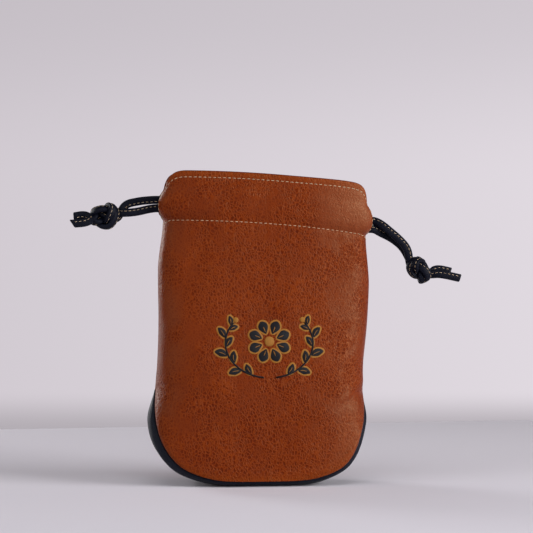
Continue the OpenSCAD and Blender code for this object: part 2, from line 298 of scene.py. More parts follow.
def band(v):
    """Profile of the gusset across its width: flat in the middle, quarter rounds at its edges."""
    return np.sqrt(np.maximum(0, 1 - np.maximum(0, (np.abs(v) - FLAT_V) / (1 - FLAT_V)) ** 2))


def band_strip(line, v, o):
    """Points of the gusset at shares v of its half width, o under its face, sunk in at its tips."""
    x, z, nx, nz = (k[:, None] for k in line.T)
    b = SEAM_Z * (1 - TIP_SINK * ramp(TIP_Z - FADE_H, TIP_Z, z)) * band(v) - o
    return sagged(stack(x + nx * b, seam_y(z) * v, z + nz * b))


def arc_length(p):
    """Running length along a polyline."""
    return np.concatenate([[0], np.cumsum(np.linalg.norm(np.diff(p, axis=0), axis=1))])


def heading(path):
    """Unit way along a path at each of its points."""
    return unit(np.gradient(path, axis=0))


def grid_run(points, axis):
    """Running length down the columns of a grid (axis 0) or along its rows (axis 1)."""
    steps = np.linalg.norm(np.diff(points, axis=axis), axis=2)
    return np.cumsum(np.insert(steps, 0, 0, axis), axis)


def nearer_end(run, axis):
    """Distance to the nearer end of each column or row, from its running length."""
    return np.minimum(run, run.take([-1], axis) - run)


def sampled(at, arc, values):
    """Rows of values, known at running lengths arc, at the lengths asked for."""
    return np.stack([np.interp(at, arc, column) for column in values.T], -1)


def edged(length, step, start=True, end=True):
    """Places along a length: even steps, with a few close ones for a rounded edge at the asked ends."""
    close = np.array([0, 0.05, 0.17, 0.36, 0.62, 0.95])
    a = close if start else np.array([0.0])
    b = length - close[::-1] if end else np.array([length])
    n = max(2, int(round((b[0] - a[-1]) / step)))
    return np.concatenate([a, np.linspace(a[-1], b[0], n + 1)[1:-1], b])


def skin_columns(step):
    """Outline shares u at even arc length round a section of the body, and those arc lengths."""
    q = np.linspace(-1, 1, 8001)
    u = np.sign(q) * (1 - (1 - np.abs(q)) ** 3)
    section = stack(half_w(ROW_Z) * plan_x(u), 18 * plan_y(u), 0)
    arc = arc_length(section)
    at = edged(arc[-1], step)
    return np.interp(at, arc, u), at


def skin_rows(step):
    """Heights of the panel's rows, even along the seam, and then shares of the collar's height."""
    x, z = corner_line(np.linspace(0, np.pi / 2, 4000))
    upright = np.linspace(CORNER_Z, ROW_Z, 400)[1:]
    x, z = np.concatenate([x, np.full(399, x[-1])]), np.concatenate([z, upright])
    arc = arc_length(stack(x, 0, z))
    rows = np.interp(edged(arc[-1], step, end=False), arc, z)
    return rows, edged(CASING_H, step, start=False)[1:] / CASING_H


def waves(x, z, seed, count, longest, shortest):
    """Gentle seeded undulation: a sum of plane sine waves of random heading, scaled to about one."""
    rng = np.random.default_rng(seed)
    length = rng.uniform(shortest, longest, count)
    way = rng.uniform(-0.9, 0.9, count)
    phase = rng.uniform(0, 2 * np.pi, count)
    turn = 2 * np.pi / length
    across = np.multiply.outer(x, turn * np.cos(way)) + np.multiply.outer(z, turn * np.sin(way))
    return np.sin(across + phase).sum(-1) / np.sqrt(count)


def fold(x, z, a, b, width):
    """A soft crease from a to b in the front view: a ridge with a shallower valley beside it."""
    ax, az = a
    bx, bz = b
    run = np.hypot(bx - ax, bz - az)
    tx, tz = (bx - ax) / run, (bz - az) / run
    t = ((x - ax) * tx + (z - az) * tz) / run
    q = (x - ax) * tz - (z - az) * tx
    along = ramp(-0.25, 0.3, t) * (1 - ramp(0.7, 1.25, t))
    return along * (np.exp(-(q / width) ** 2) - 0.8 * np.exp(-((q + 1.9 * width) / (1.4 * width)) ** 2))


def quarter(d, r):
    """Depth of a quarter-round edge of radius r at distance d from it."""
    t = np.clip(1 - d / r, 0, 1)
    return r * (1 - np.sqrt(np.maximum(0, 1 - t * t)))


def bilinear(grid, row, col):
    """Values of a grid at fractional rows and columns."""
    m, n = grid.shape[:2]
    i = np.clip(np.floor(row).astype(int), 0, m - 2)
    j = np.clip(np.floor(col).astype(int), 0, n - 2)
    s, t = (row - i)[..., None], (col - j)[..., None]
    top = grid[i, j] * (1 - t) + grid[i, j + 1] * t
    return top * (1 - s) + (grid[i + 1, j] * (1 - t) + grid[i + 1, j + 1] * t) * s


def number_at(values, places):
    """Fractional numbers of the rows or columns at which values lie among rising places."""
    return np.interp(values, places, np.arange(len(places)))


def grid_normals(p):
    """Unit normals of a grid of points, columns crossed with rows."""
    return unit(np.cross(np.gradient(p, axis=1), np.gradient(p, axis=0)))


# Creases of each skin: share of the full depth, where they start and end in x and z, and their width
CREASES = {
    FRONT: (
        (0.5, (62, 66), (44, 52), 3), (0.4, (38, 150), (58, 128), 4), (0.35, (-44, 152), (-57, 120), 4),
    ),
    BACK: ((0.8, (-60, 62), (-45, 25), 2.6), (0.5, (20, 153), (48, 120), 4)),
}


class Skin:
    """One leather skin, panel and collar in one piece, with its folds and grooves worked in.

    The outer face is the wall plus its normal times a relief: turned in by a quarter round at the
    seams, pressed in along both stitch rows, puckered beside the lower row, lifted over the cords,
    gently waved and creased elsewhere.
    """

    ROW_PRESS, RIM_PRESS, PUCKER, CORD_LIFT = 0.5, 0.35, 0.17, 0.45

    def __init__(self, side, sizes):
        step = sizes.leather_step / MM
        self.side = side
        self.u, self.arc = skin_columns(step)
        self.z, self.share = skin_rows(step)
        u = np.broadcast_to(self.u, (len(self.z) + len(self.share), len(self.u)))
        z = np.concatenate([
            np.broadcast_to(self.z[:, None], (len(self.z), len(self.u))),
            ROW_Z + self.share[:, None] * rim_h(self.u)[None],
        ])
        cut = cut_wall(u, z, 0, side)
        normal = -side * grid_normals(sagged(cut))
        h = z - ROW_Z
        edge = edge_distance(z, cut)
        rim = np.where(h > 0, rim_h(u) - h, 1e3)
        self.edge = np.minimum(edge, rim)
        relief = self.relief(cut[..., 0], z, h, edge, rim, sizes)
        out = quarter(self.edge, LEATHER_T / 2)
        self.outer, self.inner = (
            wall(u, z, o, side) + normal * relief[..., None] for o in (out, LEATHER_T - out)
        )
        self.normal = -side * grid_normals(self.outer)

    def relief(self, x, z, h, edge, rim, sizes):
        """Height of the skin over its plain form, in millimetres, as the class says."""
        tuck = quarter(edge, sizes.seam_tuck / MM) * (1 - ramp(-7, -1, h))
        calm = ramp(1.5, 13, edge) * (1 - ramp(-4, 3, h) * (1 - ramp(6, 12, rim)))
        seed = 11 if self.side == FRONT else 29
        wave = 0.65 * waves(x, z, seed, 7, 85, 42) + 0.35 * waves(x, z, seed + 1, 7, 30, 17)
        row = np.exp(-(h / 0.9) ** 2)
        rim_row = np.exp(-((rim - RIM_STITCH) / 0.9) ** 2)
        near = np.exp(-np.abs(h) / 6) * (1 - np.exp(-(h / 1.6) ** 2))
        pucker = np.sin(2 * np.pi * (x + 1.5 * np.sin(x / 9)) / 7.3) * near * ramp(2, 9, edge)
        cords = ramp(2, 6, h) * (1 - ramp(15, 21, h))
        creases = sum(depth * fold(x, z, *line) for depth, *line in CREASES[self.side])
        welt = np.exp(-((edge - 3.4) / 1.7) ** 2) - 0.45 * np.exp(-((edge - 8.5) / 3.2) ** 2)
        welt = welt * np.where(x < 0, 0.25, 0.6) * ramp(4, 14, z) * (1 - ramp(50, 70, z))
        return (
            -tuck
            + welt
            + sizes.waviness / MM * wave * calm
            + sizes.crease_depth / MM * creases * ramp(1, 5, edge)
            - self.ROW_PRESS * row * ramp(0.5, 3, edge)
            - self.RIM_PRESS * rim_row
            + self.PUCKER * pucker
            + self.CORD_LIFT * cords
        )

    def at(self, row, col):
        """Surface points and normals at fractional rows and columns of the skin's grid."""
        return bilinear(self.outer, row, col), unit(bilinear(self.normal, row, col))

    def on_collar(self, a, h):
        """Surface points and normals of the collar at arc length a round it and height h."""
        share = h / rim_h(np.interp(a, self.arc, self.u))
        above = len(self.z) - 1 + number_at(share, np.concatenate([[0], self.share]))
        row = np.where(h > 0, above, number_at(ROW_Z + h, self.z))
        return self.at(row, number_at(a, self.arc))

    def on_panel(self, x, z):
        """Surface points and normals where the panel is seen from the front at x and z."""
        cut_x, cut_z = x, z
        for _ in range(5):
            cut_x, cut_z = x - sway(cut_z), z + sag(cut_x, cut_z)
        share = np.clip(np.abs(cut_x) / half_w(cut_z), 0, 1) ** (PLAN_N / 2)
        u = np.sign(cut_x) * 2 / np.pi * np.arcsin(share)
        return self.at(number_at(cut_z, self.z), number_at(u, self.u))


# Meshes

def quads_of(rows, cols, ring=False):
    """Corner numbers of a grid's quads, row by row; a ring closes the last column to the first."""
    i, j = np.meshgrid(np.arange(rows - 1), np.arange(cols if ring else cols - 1), indexing="ij")
    k = (j + 1) % cols
    low, high = i * cols, (i + 1) * cols
    return np.stack([low + j, low + k, high + k, high + j], -1).reshape(-1, 4)


def caps_of(ring, last, first_middle, last_middle):
    """Triangles that close a tube: from its first ring and its last one, each to a middle point."""
    k = np.arange(ring)
    after = (k + 1) % ring
    ends = (first_middle, after, k), (last_middle, last + k, last + after)
    return np.concatenate([np.stack([np.full(ring, a), b, c], -1) for a, b, c in ends])


def new_piece(name, points, faces, material, **attributes):
    """A smooth mesh object from points in millimetres, with point attributes for its material."""
    mesh = bpy.data.meshes.new(name)
    mesh.from_pydata((np.asarray(points).reshape(-1, 3) * MM).tolist(), [], [f.tolist() for f in faces])
    for label, values in attributes.items():
        layer = mesh.attributes.new(label, "FLOAT", "POINT")
        layer.data.foreach_set("value", np.asarray(values, np.float32).ravel())
    mesh.polygons.foreach_set("use_smooth", np.ones(len(mesh.polygons), bool))
    mesh.materials.append(material)
    mesh.update()
    piece = bpy.data.objects.new(name, mesh)
    bpy.context.scene.collection.objects.link(piece)
    return piece


def closed_shell(name, outer, inner, flip, material, **attributes):
    """A shell between two grids that share their border points, so that its edges are closed."""
    m, n = outer.shape[:2]
    own = np.zeros((m, n), bool)
    own[1:-1, 1:-1] = True
    number = np.arange(m * n).reshape(m, n)
    number[own] = m * n + np.arange(own.sum())
    face = quads_of(m, n)
    under = number.ravel()[face]
    faces = np.concatenate([face[:, ::-1], under] if flip else [face, under[:, ::-1]])
    points = np.concatenate([outer.reshape(-1, 3), inner[own]])
    values = {k: np.concatenate([v.ravel(), v[own]]) for k, v in attributes.items()}
    return new_piece(name, points, faces, material, **values)


def swept(path, wide, thin, half_a, half_b, cut=0.0):
    """Points of a profile carried along a path: half_a along its wide way, half_b along its thin one.

    The cut slants the far end: its points move along the path with their place across the width.
    """
    points = path[:, None] + wide[:, None] * half_a[..., None] + thin[:, None] * half_b[..., None]
    way = heading(path)
    left = arc_length(path)[-1] - arc_length(path)
    slant = cut * np.clip(1 - left / 3, 0, 1)
    return points + way[:, None] * (slant[:, None] * half_a)[..., None]


def tube_piece(name, points, material, **attributes):
    """A closed tube from rings of points, each end drawn in a little and then closed to its middle."""
    m, n = points.shape[:2]
    drawn_in, out = 0.86, 0.35
    ends = []
    for end, inward in ((points[0], points[1]), (points[-1], points[-2])):
        middle = end.mean(0)
        ends.append(middle + (end - middle) * drawn_in + out * unit((end - inward).mean(0)))
    rings = np.concatenate([ends[:1], points, ends[1:]])
    whole = (m + 2) * n
    faces = [*quads_of(m + 2, n, ring=True), *caps_of(n, whole - n, whole, whole + 1)]
    every = np.concatenate([rings.reshape(-1, 3), [rings[0].mean(0)], [rings[-1].mean(0)]])
    values = {
        label: np.concatenate([v[0], v.ravel(), v[-1], [v[0].mean()], [v[-1].mean()]])
        for label, v in attributes.items()
    }
    return new_piece(name, every, faces, material, **values)


def stitches(name, rows, length, thread, material):
    """Short arched stitches along spaced rows: a round thread whose ends dive into what it holds.

    Along a stitch t runs from -1 to 1. The radius is the thread's times the root of 1 - t^6, and the
    height falls by a little over t^4 of the thread's thickness.
    """
    t = np.array([-0.97, -0.8, -0.35, 0.35, 0.8, 0.97])
    sides = 6
    turn = 2 * np.pi * np.arange(sides) / sides
    radius = thread / 2 * np.sqrt(1 - t**6)
    along = np.broadcast_to((t * length / 2)[:, None], (len(t), sides))
    across = radius[:, None] * np.cos(turn)
    rise = radius[:, None] * np.sin(turn) + (0.12 - 1.1 * t**4)[:, None] * thread
    ends = np.array([[-length / 2, 0, -thread], [length / 2, 0, -thread]])
    shape = np.concatenate([np.stack([along, across, rise], -1).reshape(-1, 3), ends])
    total = len(t) * sides
    walls = quads_of(len(t), sides, ring=True)
    caps = caps_of(sides, total - sides, total, total + 1)
    middles, ways, ups = (np.concatenate(v) for v in zip(*rows))
    ways = unit(ways)
    sides_way = unit(np.cross(ups, ways))
    ups = np.cross(ways, sides_way)
    basis = np.stack([ways, sides_way, ups], 1)
    points = middles[:, None] + np.einsum("mk,skx->smx", shape, basis)
    shift = (np.arange(len(middles)) * len(shape))[:, None, None]
    faces = list((walls + shift).reshape(-1, 4)) + list((caps + shift).reshape(-1, 3))
    run = np.broadcast_to(shape[:, 0], (len(middles), len(shape)))
    return new_piece(name, points, faces, material, along=run)


def spaced(points, normals, pitch):
    """Places, headings and normals every pitch along a dense line of points."""
    arc = arc_length(points)
    n = max(1, int(arc[-1] // pitch))
    at = (np.arange(n) + 0.5) * arc[-1] / n
    way = heading(points)
    return sampled(at, arc, points), unit(sampled(at, arc, way)), unit(sampled(at, arc, normals))


# Laces

def through(points, per):
    """A smooth curve through chosen points: each span is a cubic that keeps its neighbours' slopes."""
    p = np.asarray(points, float)
    q = np.concatenate([p[:1], p, p[-1:]])
    t = np.arange(per)[None, :, None] / per
    a, b, c, d = (q[k : len(q) - 3 + k, None] for k in range(4))
    square, cube = 2 * a - 5 * b + 4 * c - d, 3 * b - a - 3 * c + d
    span = (2 * b + (c - a) * t + square * t**2 + cube * t**3) / 2
    return np.concatenate([span.reshape(-1, 3), p[-1:]])


def bend(a, a_to, b, b_to, n):
    """A cubic curve from a to b with the given headings at its ends."""
    t = np.linspace(0, 1, n)[:, None]
    q = 1 - t
    return a * q**3 + (a + a_to) * 3 * q * q * t + (b + b_to) * 3 * q * t * t + b * t**3


def evenly(path, step):
    """A path resampled at even steps."""
    arc = arc_length(path)
    return sampled(np.linspace(0, arc[-1], max(4, int(round(arc[-1] / step)) + 1)), arc, path)


def eased(path, rounds):
    """A path smoothed by moving each inner point to its neighbours' mean, ends held."""
    p = path.copy()
    for _ in range(rounds):
        p[1:-1] = 0.5 * p[1:-1] + 0.25 * (p[:-2] + p[2:])
    return p


def tied_pair(thick, reach, n, rounds):
    """Middle lines of two laces tied together in one overhand knot, pulled up until they touch.

    Both start along one loose overhand knot, three cosines of 3, 4 and 5 half turns, side by side. Each
    round shortens them, a share of each point's step to its neighbours' mean, and then pushes every two
    points apart that lie closer than the lace is thick.
    """
    turn = np.radians(np.linspace(8, 172, 160))
    core = np.stack([10.5 * np.cos(3 * turn), 9 * np.cos(4 * turn), 7.5 * np.cos(5 * turn)], 1)
    middle = evenly(np.concatenate([
        [[reach, 0, 0], [15, 4, 3]], core, [[-15, 4, -3], [-reach, 0, 0]]
    ]), 0.5)
    side = unit(np.cross(heading(middle), [0, 0, 1.0]))

    def even(p):
        """A line laid out again in n even points."""
        arc = arc_length(p)
        return sampled(np.linspace(0, arc[-1], n), arc, p)

    p = np.concatenate([even(middle + side * thick * k) for k in (-0.56, 0.56)])
    strand, order = np.repeat([0, 1], n), np.tile(np.arange(n), 2)
    held = (order == 0) | (order == n - 1)
    for step in range(rounds):
        q = p.reshape(2, n, 3)
        q[:, 1:-1] += 0.45 * ((q[:, :-2] + q[:, 2:]) / 2 - q[:, 1:-1])
        p = q.reshape(-1, 3)
        apart = np.linalg.norm(np.diff(q[0], axis=0), axis=1).mean()
        close = int(np.ceil(0.5 * np.pi * thick / apart))
        same = (strand[:, None] == strand) & (np.abs(order[:, None] - order) <= close)
        for _ in range(3):
            gap = p[:, None] - p
            far = np.sqrt((gap**2).sum(2)) + 1e-9
            push = np.where((far < thick) & ~same, (thick - far) / far * 0.5, 0.0)
            pushes = np.maximum((push > 0).sum(1), 1)
            move = np.einsum("ij,ijk->ik", push, gap) / np.sqrt(pushes)[:, None]
            move[held] = 0
            p = p + 0.7 * move
        if step % 5 == 4:
            p = np.concatenate([even(k) for k in p.reshape(2, n, 3)])
    return p.reshape(2, n, 3)


def lace_section(width, thick, sides):
    """Profile of a folded lace: a flat oval, a stitch groove on both faces, a slit at its open edge."""
    turn = 2 * np.pi * np.arange(sides) / sides
    c, s = np.cos(turn), np.sin(turn)
    a = width / 2 * np.sign(c) * np.abs(c) ** 0.8
    b = thick / 2 * np.sign(s) * np.abs(s) ** 0.62
    groove = LACE_GROOVE * np.exp(-((a - LACE_STITCH * width) / 0.42) ** 2)
    a = a - 0.35 * np.exp(-((turn + np.pi) % (2 * np.pi) - np.pi) ** 2 / 0.02)
    return a, b - np.sign(s) * groove


KNOT_HALF = 7.2
EXIT_MID = (LOW_H + HIGH_H) / 2
EXIT_X = collar_w(EXIT_MID) + 1
EXIT_H = {
    LEFT: {FRONT: EXIT_MID - PAIR_H / 2, BACK: EXIT_MID + PAIR_H / 2},
    RIGHT: {FRONT: EXIT_MID - DROOP + PAIR_H / 2, BACK: EXIT_MID - DROOP - PAIR_H / 2},
}
RING_H = {LEFT: LOW_H, RIGHT: HIGH_H}
# Routes of the free ends from the middle of their exit, as the solids have them: stem, then tail
ENDS = {
    (LEFT, FRONT): (
        [[-1.3, 0, -2.5], [-6, -0.9, -3.3], [-12, -1.6, -4.7], [-19, -1.8, -5.4]],
        [[-42.5, -2.2, -11.2], [-50.8, -2.2, -12]],
    ),
    (LEFT, BACK): (
        [[-0.9, 0, 2.5], [-6, 0.8, 2.2], [-12, 1.8, 1.4], [-19, 2, -0.8]],
        [[-42.5, 2, -6.9], [-49.8, 2, -7.6]],
    ),
    (RIGHT, FRONT): (
        [[1.5, 0, 2.5], [5.5, -1.7, 0.4], [11, -2.1, -4], [17.8, -2.1, -10], [21.9, -2.1, -15.6]],
        [[42.5, -2.2, -30.2], [54.3, -2.2, -32.6]],
    ),
    (RIGHT, BACK): (
        [[1.4, 0, -2.5], [6, 1.7, -4.9], [12, 2.1, -7.8], [18, 2.1, -12.2], [21.4, 2.1, -16.6]],
        [[41.5, 2, -27], [49.2, 2, -28.5]],
    ),
}
KNOT_AT = {LEFT: (-31, 0, -7.4), RIGHT: (30, 0, -27)}
# Ends whose lace is turned over, with the slant of their cut
TURNED = {(LEFT, FRONT): (-1, 0.6)}
KNOT_TILT = {LEFT: np.radians(15), RIGHT: np.radians(33)}
KNOT_ROLL = {LEFT: np.radians(165), RIGHT: np.radians(55)}


def run_point(u, h, side):
    """Middle of a lace in the cord channel at outline share u and height h."""
    w, d = collar_w(h) - RUN_O, collar_d(h) - RUN_O
    return sagged(stack(w * plan_x(u), side * (lip_y(h) + (d - lip_y(h)) * plan_y(u)), ROW_Z + h))


def run_end(h, side, hand):
    """End of a lace's channel run toward a slit, and its heading there."""
    u = hand * RUN_U
    way = unit(run_point(u + hand * 0.01, h, side) - run_point(u, h, side))
    return run_point(u + hand * 0.015, h, side), way


def exit_at(hand, h):
    """Place at height h over the channel row where a lace leaves its slit."""
    return sagged(np.array([hand * EXIT_X, 0, ROW_Z + h]))


def exit_middle(hand):
    """Place between the two laces of a pair where they leave their slit."""
    return exit_at(hand, sum(EXIT_H[hand].values()) / 2)


def lead_path(hand, side, n=40):
    """Middle line of a lace from its channel to the slit: level, then up or down to its exit.

    It starts a little under the run, the deeper the higher it lies, so that a leaning collar clears it.
    """
    h, to_h = RING_H[hand], EXIT_H[hand][side]
    start, way = run_end(h, side, hand)
    flat = bend(start, way * 8, exit_at(hand, h), np.array([-hand * 9.0, 0, 0]), n)
    t = np.linspace(0, 1, n)
    flat[:, 1] -= side * LEAD_SINK * h * (1 - ramp(0, 0.45, t))
    flat[:, 2] += (to_h - h) * ramp(0.5, 0.78, t)
    return flat


def loop_path(hand, h, n=24):
    """Middle line of a lace loop inside the slit on one hand, from front channel to back channel."""
    (a, a_way), (b, b_way) = run_end(h, FRONT, hand), run_end(h, BACK, hand)
    m = sagged(np.array([hand * (collar_w(h) - LOOP_IN), 0, ROW_Z + h]))
    y = np.array([0, 5.0, 0])
    return np.concatenate([bend(a, a_way * 4, m, -y, n), bend(m, y, b, b_way * 4, n)[1:]])


def knot_frame(hand):
    """Middle of a knot and its axes: toward the pouch, up, and across."""
    mid = exit_middle(hand) + np.array(KNOT_AT[hand])
    c, s = np.cos(KNOT_TILT[hand]), np.sin(KNOT_TILT[hand])
    along, up = np.array([-hand * c, 0, s]), np.array([hand * s, 0, c])
    across = np.cross(along, up)
    c, s = np.cos(KNOT_ROLL[hand]), np.sin(KNOT_ROLL[hand])
    return mid, np.stack([along, c * up + s * across, c * across - s * up])


def strand_path(hand, side, knot, step):
    """Middle line of one free lace end: out of the slit, through the knot, to its cut tail.

    Also how far each point belongs to the knot, from 0 to 1.
    """
    origin = exit_middle(hand)
    stem, tail = (np.array(p) + origin for p in ENDS[hand, side])
    lead = lead_path(hand, side)
    lead = lead[hand * (lead[:, 0] - origin[0]) > -4]
    mid, axes = knot_frame(hand)
    tied = mid + knot[side][np.abs(knot[side][:, 0]) < KNOT_HALF] @ axes
    control = np.concatenate([lead[:-1:3], stem, evenly(tied, 2.2), tail])
    path = eased(evenly(through(control, 10), step), 6)
    path = evenly(path, step)
    inside = np.abs((path - mid) @ axes[0])
    return path, 1 - ramp(KNOT_HALF - 3, KNOT_HALF + 3, inside), mid


def lace_faces(path, tied, mid):
    """Ways across a lace and out of its face: to the front on the free ends, outward in the knot."""
    way = heading(path)
    outward = unit(path - mid)
    face = (1 - tied)[:, None] * np.array([0, -1.0, 0]) + tied[:, None] * outward
    for _ in range(14):
        face = face - way * (face * way).sum(1)[:, None]
        face = unit(face)
        face[1:-1] = 0.4 * face[1:-1] + 0.3 * (face[:-2] + face[2:])
    face = unit(face - way * (face * way).sum(1)[:, None])
    return np.cross(face, way), face


def upright_faces(path):
    """Directions for a lace that stands on edge, its wide side upright."""
    way = heading(path)
    face = unit(np.cross(way, [0, 0, 1.0]))
    return np.cross(face, way), face


# Materials

def operator(operation, swapped=False):
    """A method that adds one Math node, its two terms swapped where Python asks for that."""
    def method(self, other):
        return self.math(operation, other, self) if swapped else self.math(operation, self, other)
    return method


class Value:
    """A number that a shader works out: arithmetic on it adds Math nodes to the same tree."""

    def __init__(self, tree, socket):
        self.tree, self.socket = tree, socket

    def math(self, operation, *terms):
        """The outcome of one Math node fed with the terms."""
        node = self.tree.nodes.new("ShaderNodeMath")
        node.operation = operation
        for slot, term in zip(node.inputs, terms):
            feed(self.tree, slot, term)
        return Value(self.tree, node.outputs[0])

    def alone(self, operation):
        """The outcome of one Math node fed with this number only."""
        return self.math(operation, self)

    __add__, __radd__ = operator("ADD"), operator("ADD", True)
    __sub__, __rsub__ = operator("SUBTRACT"), operator("SUBTRACT", True)
    __mul__, __rmul__ = operator("MULTIPLY"), operator("MULTIPLY", True)
    __truediv__, __rtruediv__ = operator("DIVIDE"), operator("DIVIDE", True)
    __pow__, __rpow__ = operator("POWER"), operator("POWER", True)


def feed(tree, slot, value):
    """Links a worked-out value to a socket, or sets a plain one on it."""
    if isinstance(value, Value):
        tree.links.new(value.socket, slot)
    else:
        slot.default_value = value


class Finish:
    """A material or a world under construction: nodes by type, settings and inputs."""

    def __init__(self, owner):
        self.owner = owner
        owner.use_nodes = True
        self.tree = owner.node_tree
        self.tree.nodes.clear()

    def node(self, kind, settings=None, inputs=None, output=0):
        """One shader node of any kind, with its settings and inputs, as the asked output's value."""
        node = self.tree.nodes.new(f"ShaderNode{kind}")
        for key, value in (settings or {}).items():
            setattr(node, key, value)
        for key, value in (inputs or {}).items():
            feed(self.tree, node.inputs[key], value)
        return None if output is None else Value(self.tree, node.outputs[output])

    def vector(self, operation, inputs):
        """The outcome of one Vector Math node."""
        return self.node("VectorMath", {"operation": operation}, inputs)

    def place(self, sx=1.0, sy=1.0, sz=1.0):
        """Object coordinates in millimetres, each axis scaled."""
        here = self.node("TexCoord", output="Object")
        scale = (sx / MM, sy / MM, sz / MM)
        return self.vector("MULTIPLY", {0: here, 1: scale})

    def moved(self, place, by, amount):
        """A place shifted by a noise colour times an amount."""
        centred = self.vector("SUBTRACT", {0: by, 1: (0.5, 0.5, 0.5)})
        step = self.vector("SCALE", {0: centred, "Scale": amount})
        return self.vector("ADD", {0: place, 1: step})

    def parts(self, place, names):
        """Coordinates of a place by the names of their axes."""
        return [self.node("SeparateXYZ", None, {0: place}, k) for k in names]

    def noise(self, place, scale, detail=2.0, rough=0.5, output="Fac"):
        """Noise at a place, in features per unit, as a share or a colour."""
        inputs = {"Vector": place, "Scale": scale, "Detail": detail, "Roughness": rough}
        return self.node("TexNoise", None, inputs, output)

    def cells(self, place, scale):
        """Distance from a place to the nearest border between cells."""
        inputs = {"Vector": place, "Scale": scale}
        return self.node("TexVoronoi", {"feature": "DISTANCE_TO_EDGE"}, inputs, "Distance")

    def step(self, value, low, high):
        """Smooth step of a value between two bounds, from 0 to 1."""
        inputs = {"Value": value, "From Min": low, "From Max": high}
        return self.node("MapRange", {"interpolation_type": "SMOOTHSTEP"}, inputs)

    def attribute(self, name):
        """A point attribute of the piece's mesh."""
        return self.node("Attribute", {"attribute_name": name}, None, "Fac")

    def ripple(self, name, pitch):
        """Sine ridges of a pitch across a point attribute, from 0 to 1."""
        turn = self.attribute(name) * (2 * np.pi / pitch)
        return 0.5 + 0.5 * turn.alone("SINE")

    def mix(self, share, a, b):
        """Colour a changing to colour b by a share."""
        a, b = (c if isinstance(c, Value) else (*c, 1.0) for c in (a, b))
        return self.node("Mix", {"data_type": "RGBA"}, {0: share, 6: a, 7: b}, 2)

    def surface(self, colour, roughness, height, gloss=0.5, **constants):
        """The principled surface: height is its relief in millimetres, constants go to its sockets."""
        bump = self.node("Bump", None, {"Strength": 1.0, "Distance": MM, "Height": height})
        inputs = {"Base Color": colour, "Roughness": roughness, "Normal": bump}
        inputs["Specular IOR Level"] = gloss
        shader = self.node("BsdfPrincipled", None, inputs | constants)
        self.node("OutputMaterial", None, {"Surface": shader}, None)
        return self.owner


def finish(name):
    """A new material under construction."""
    return Finish(bpy.data.materials.new(name))


def grain(made, tall, size):
    """Grain of milled leather on warped cells, taller than wide: shares of pit and vein, and places."""
    place = made.place(1 / size, 1 / size, 1 / (size * tall))
    warp = made.noise(place, 0.35, 2.0, 0.55, "Color")
    bent = made.moved(place, warp, 1.8)
    rim = made.cells(bent, 1.0)
    return made.step(rim, 0.08, 0.4), 1 - made.step(rim, 0.02, 0.16), bent


def tan_leather(colours):
    """Milled tan leather: dark pits, pale veins and long soft wrinkles, smoother in patches. Painted
    light: a sheen on the smooth patches, a highlight low and high on the right, shade at the seams.
    """
    made = finish("tan_leather")
    pit, vein, bent = grain(made, 1.3, 1.65)
    place = made.place()
    cloud = made.noise(place, 0.03, 3.0, 0.55)
    mottle = made.noise(place, 0.2, 4.0, 0.6)
    x, z = made.parts(place, "XZ")
    # The sides of the body, where smoother patches with their painted sheen are made more common
    aside = made.step(x.alone("ABSOLUTE"), 25.0, 62.0) * made.step(z, 20.0, 120.0)
    patch = made.noise(place, 0.05, 2.0, 0.5) - 0.1 * aside
    coarse = 0.4 + 0.6 * made.step(patch, 0.33, 0.52)
    drawn = made.moved(made.place(1, 1, 0.22), made.noise(place, 0.08, 1.0, 0.5, "Color"), 5.0)
    long = made.noise(drawn, 0.42, 2.0, 0.5) - 0.5
    wrinkle = 1 - made.step(long.alone("ABSOLUTE"), 0.0, 0.04)
    speck = made.noise(bent, 1.6, 2.0, 0.6)
    tone = made.step(0.75 * cloud + 0.25 * mottle, 0.36, 0.66)
    colour = made.mix(tone, colours.tan_dark, colours.tan_light)
    # Painted sheen: smoother patches of grain get a paler, greyer tone that stands in for the lamps'
    # sheen
    colour = made.mix(0.6 * (1 - coarse), colour, colours.tan_smooth_sheen)
    dark = pit * coarse * (0.34 + 0.3 * made.step(speck, 0.3, 0.55))
    colour = made.mix(dark, colour, colours.tan_deep)
    pale = vein * coarse * (0.55 + 0.45 * made.step(speck, 0.35, 0.62))
    colour = made.mix(0.75 * pale, colour, colours.tan_rub)
    colour = made.mix(0.28 * wrinkle * coarse, colour, colours.tan_rub)
    # Painted highlight: a broad hazy highlight low and high on the right of the pouch, where the key
    # lamp's sheen falls
    ends = 0.45 * (1 - made.step(z, 22.0, 60.0)) + made.step(z, 140.0, 166.0)
    painted_highlight = 0.75 * ends * made.step(x, 22.0, 56.0) * (0.4 + 1.2 * mottle)
    colour = made.mix(painted_highlight, colour, colours.tan_painted_highlight)
    edge = made.attribute("edge")
    worn = 1 - made.step(edge, 0.5, 6.0)
    colour = made.mix(0.45 * worn, colour, colours.tan_edge)
    # Painted shade: the leather darkens toward the pits' tone within a millimetre of the seams, where
    # it turns in
    seam_shade = 1 - made.step(edge, 0.1, 0.8)
    colour = made.mix(0.7 * seam_shade, colour, colours.tan_deep)
    height = coarse * (0.09 * vein - 0.13 * pit + 0.09 * wrinkle) + 0.05 * mottle
    rough = 0.32 + 0.3 * pit * coarse + 0.1 * mottle
    return made.surface(colour, rough, height, 0.175, **{"Specular Tint": (1.0, 0.72, 0.38, 1.0)})


def navy_leather(colours):
    """Navy leather with a fine grain and a soft sheen, rubbed a little greyer on its high places."""
    made = finish("navy_leather")
    pit, vein, _ = grain(made, 1.2, 1.0)
    mottle = made.noise(made.place(), 0.2, 4.0, 0.6)
    colour = made.mix(0.6 * made.step(mottle, 0.35, 0.7) + 0.4 * vein, colours.navy, colours.navy_rub)
    height = 0.04 * vein - 0.06 * pit
    return made.surface(colour, 0.42 + 0.2 * mottle, height, gloss=0.14)


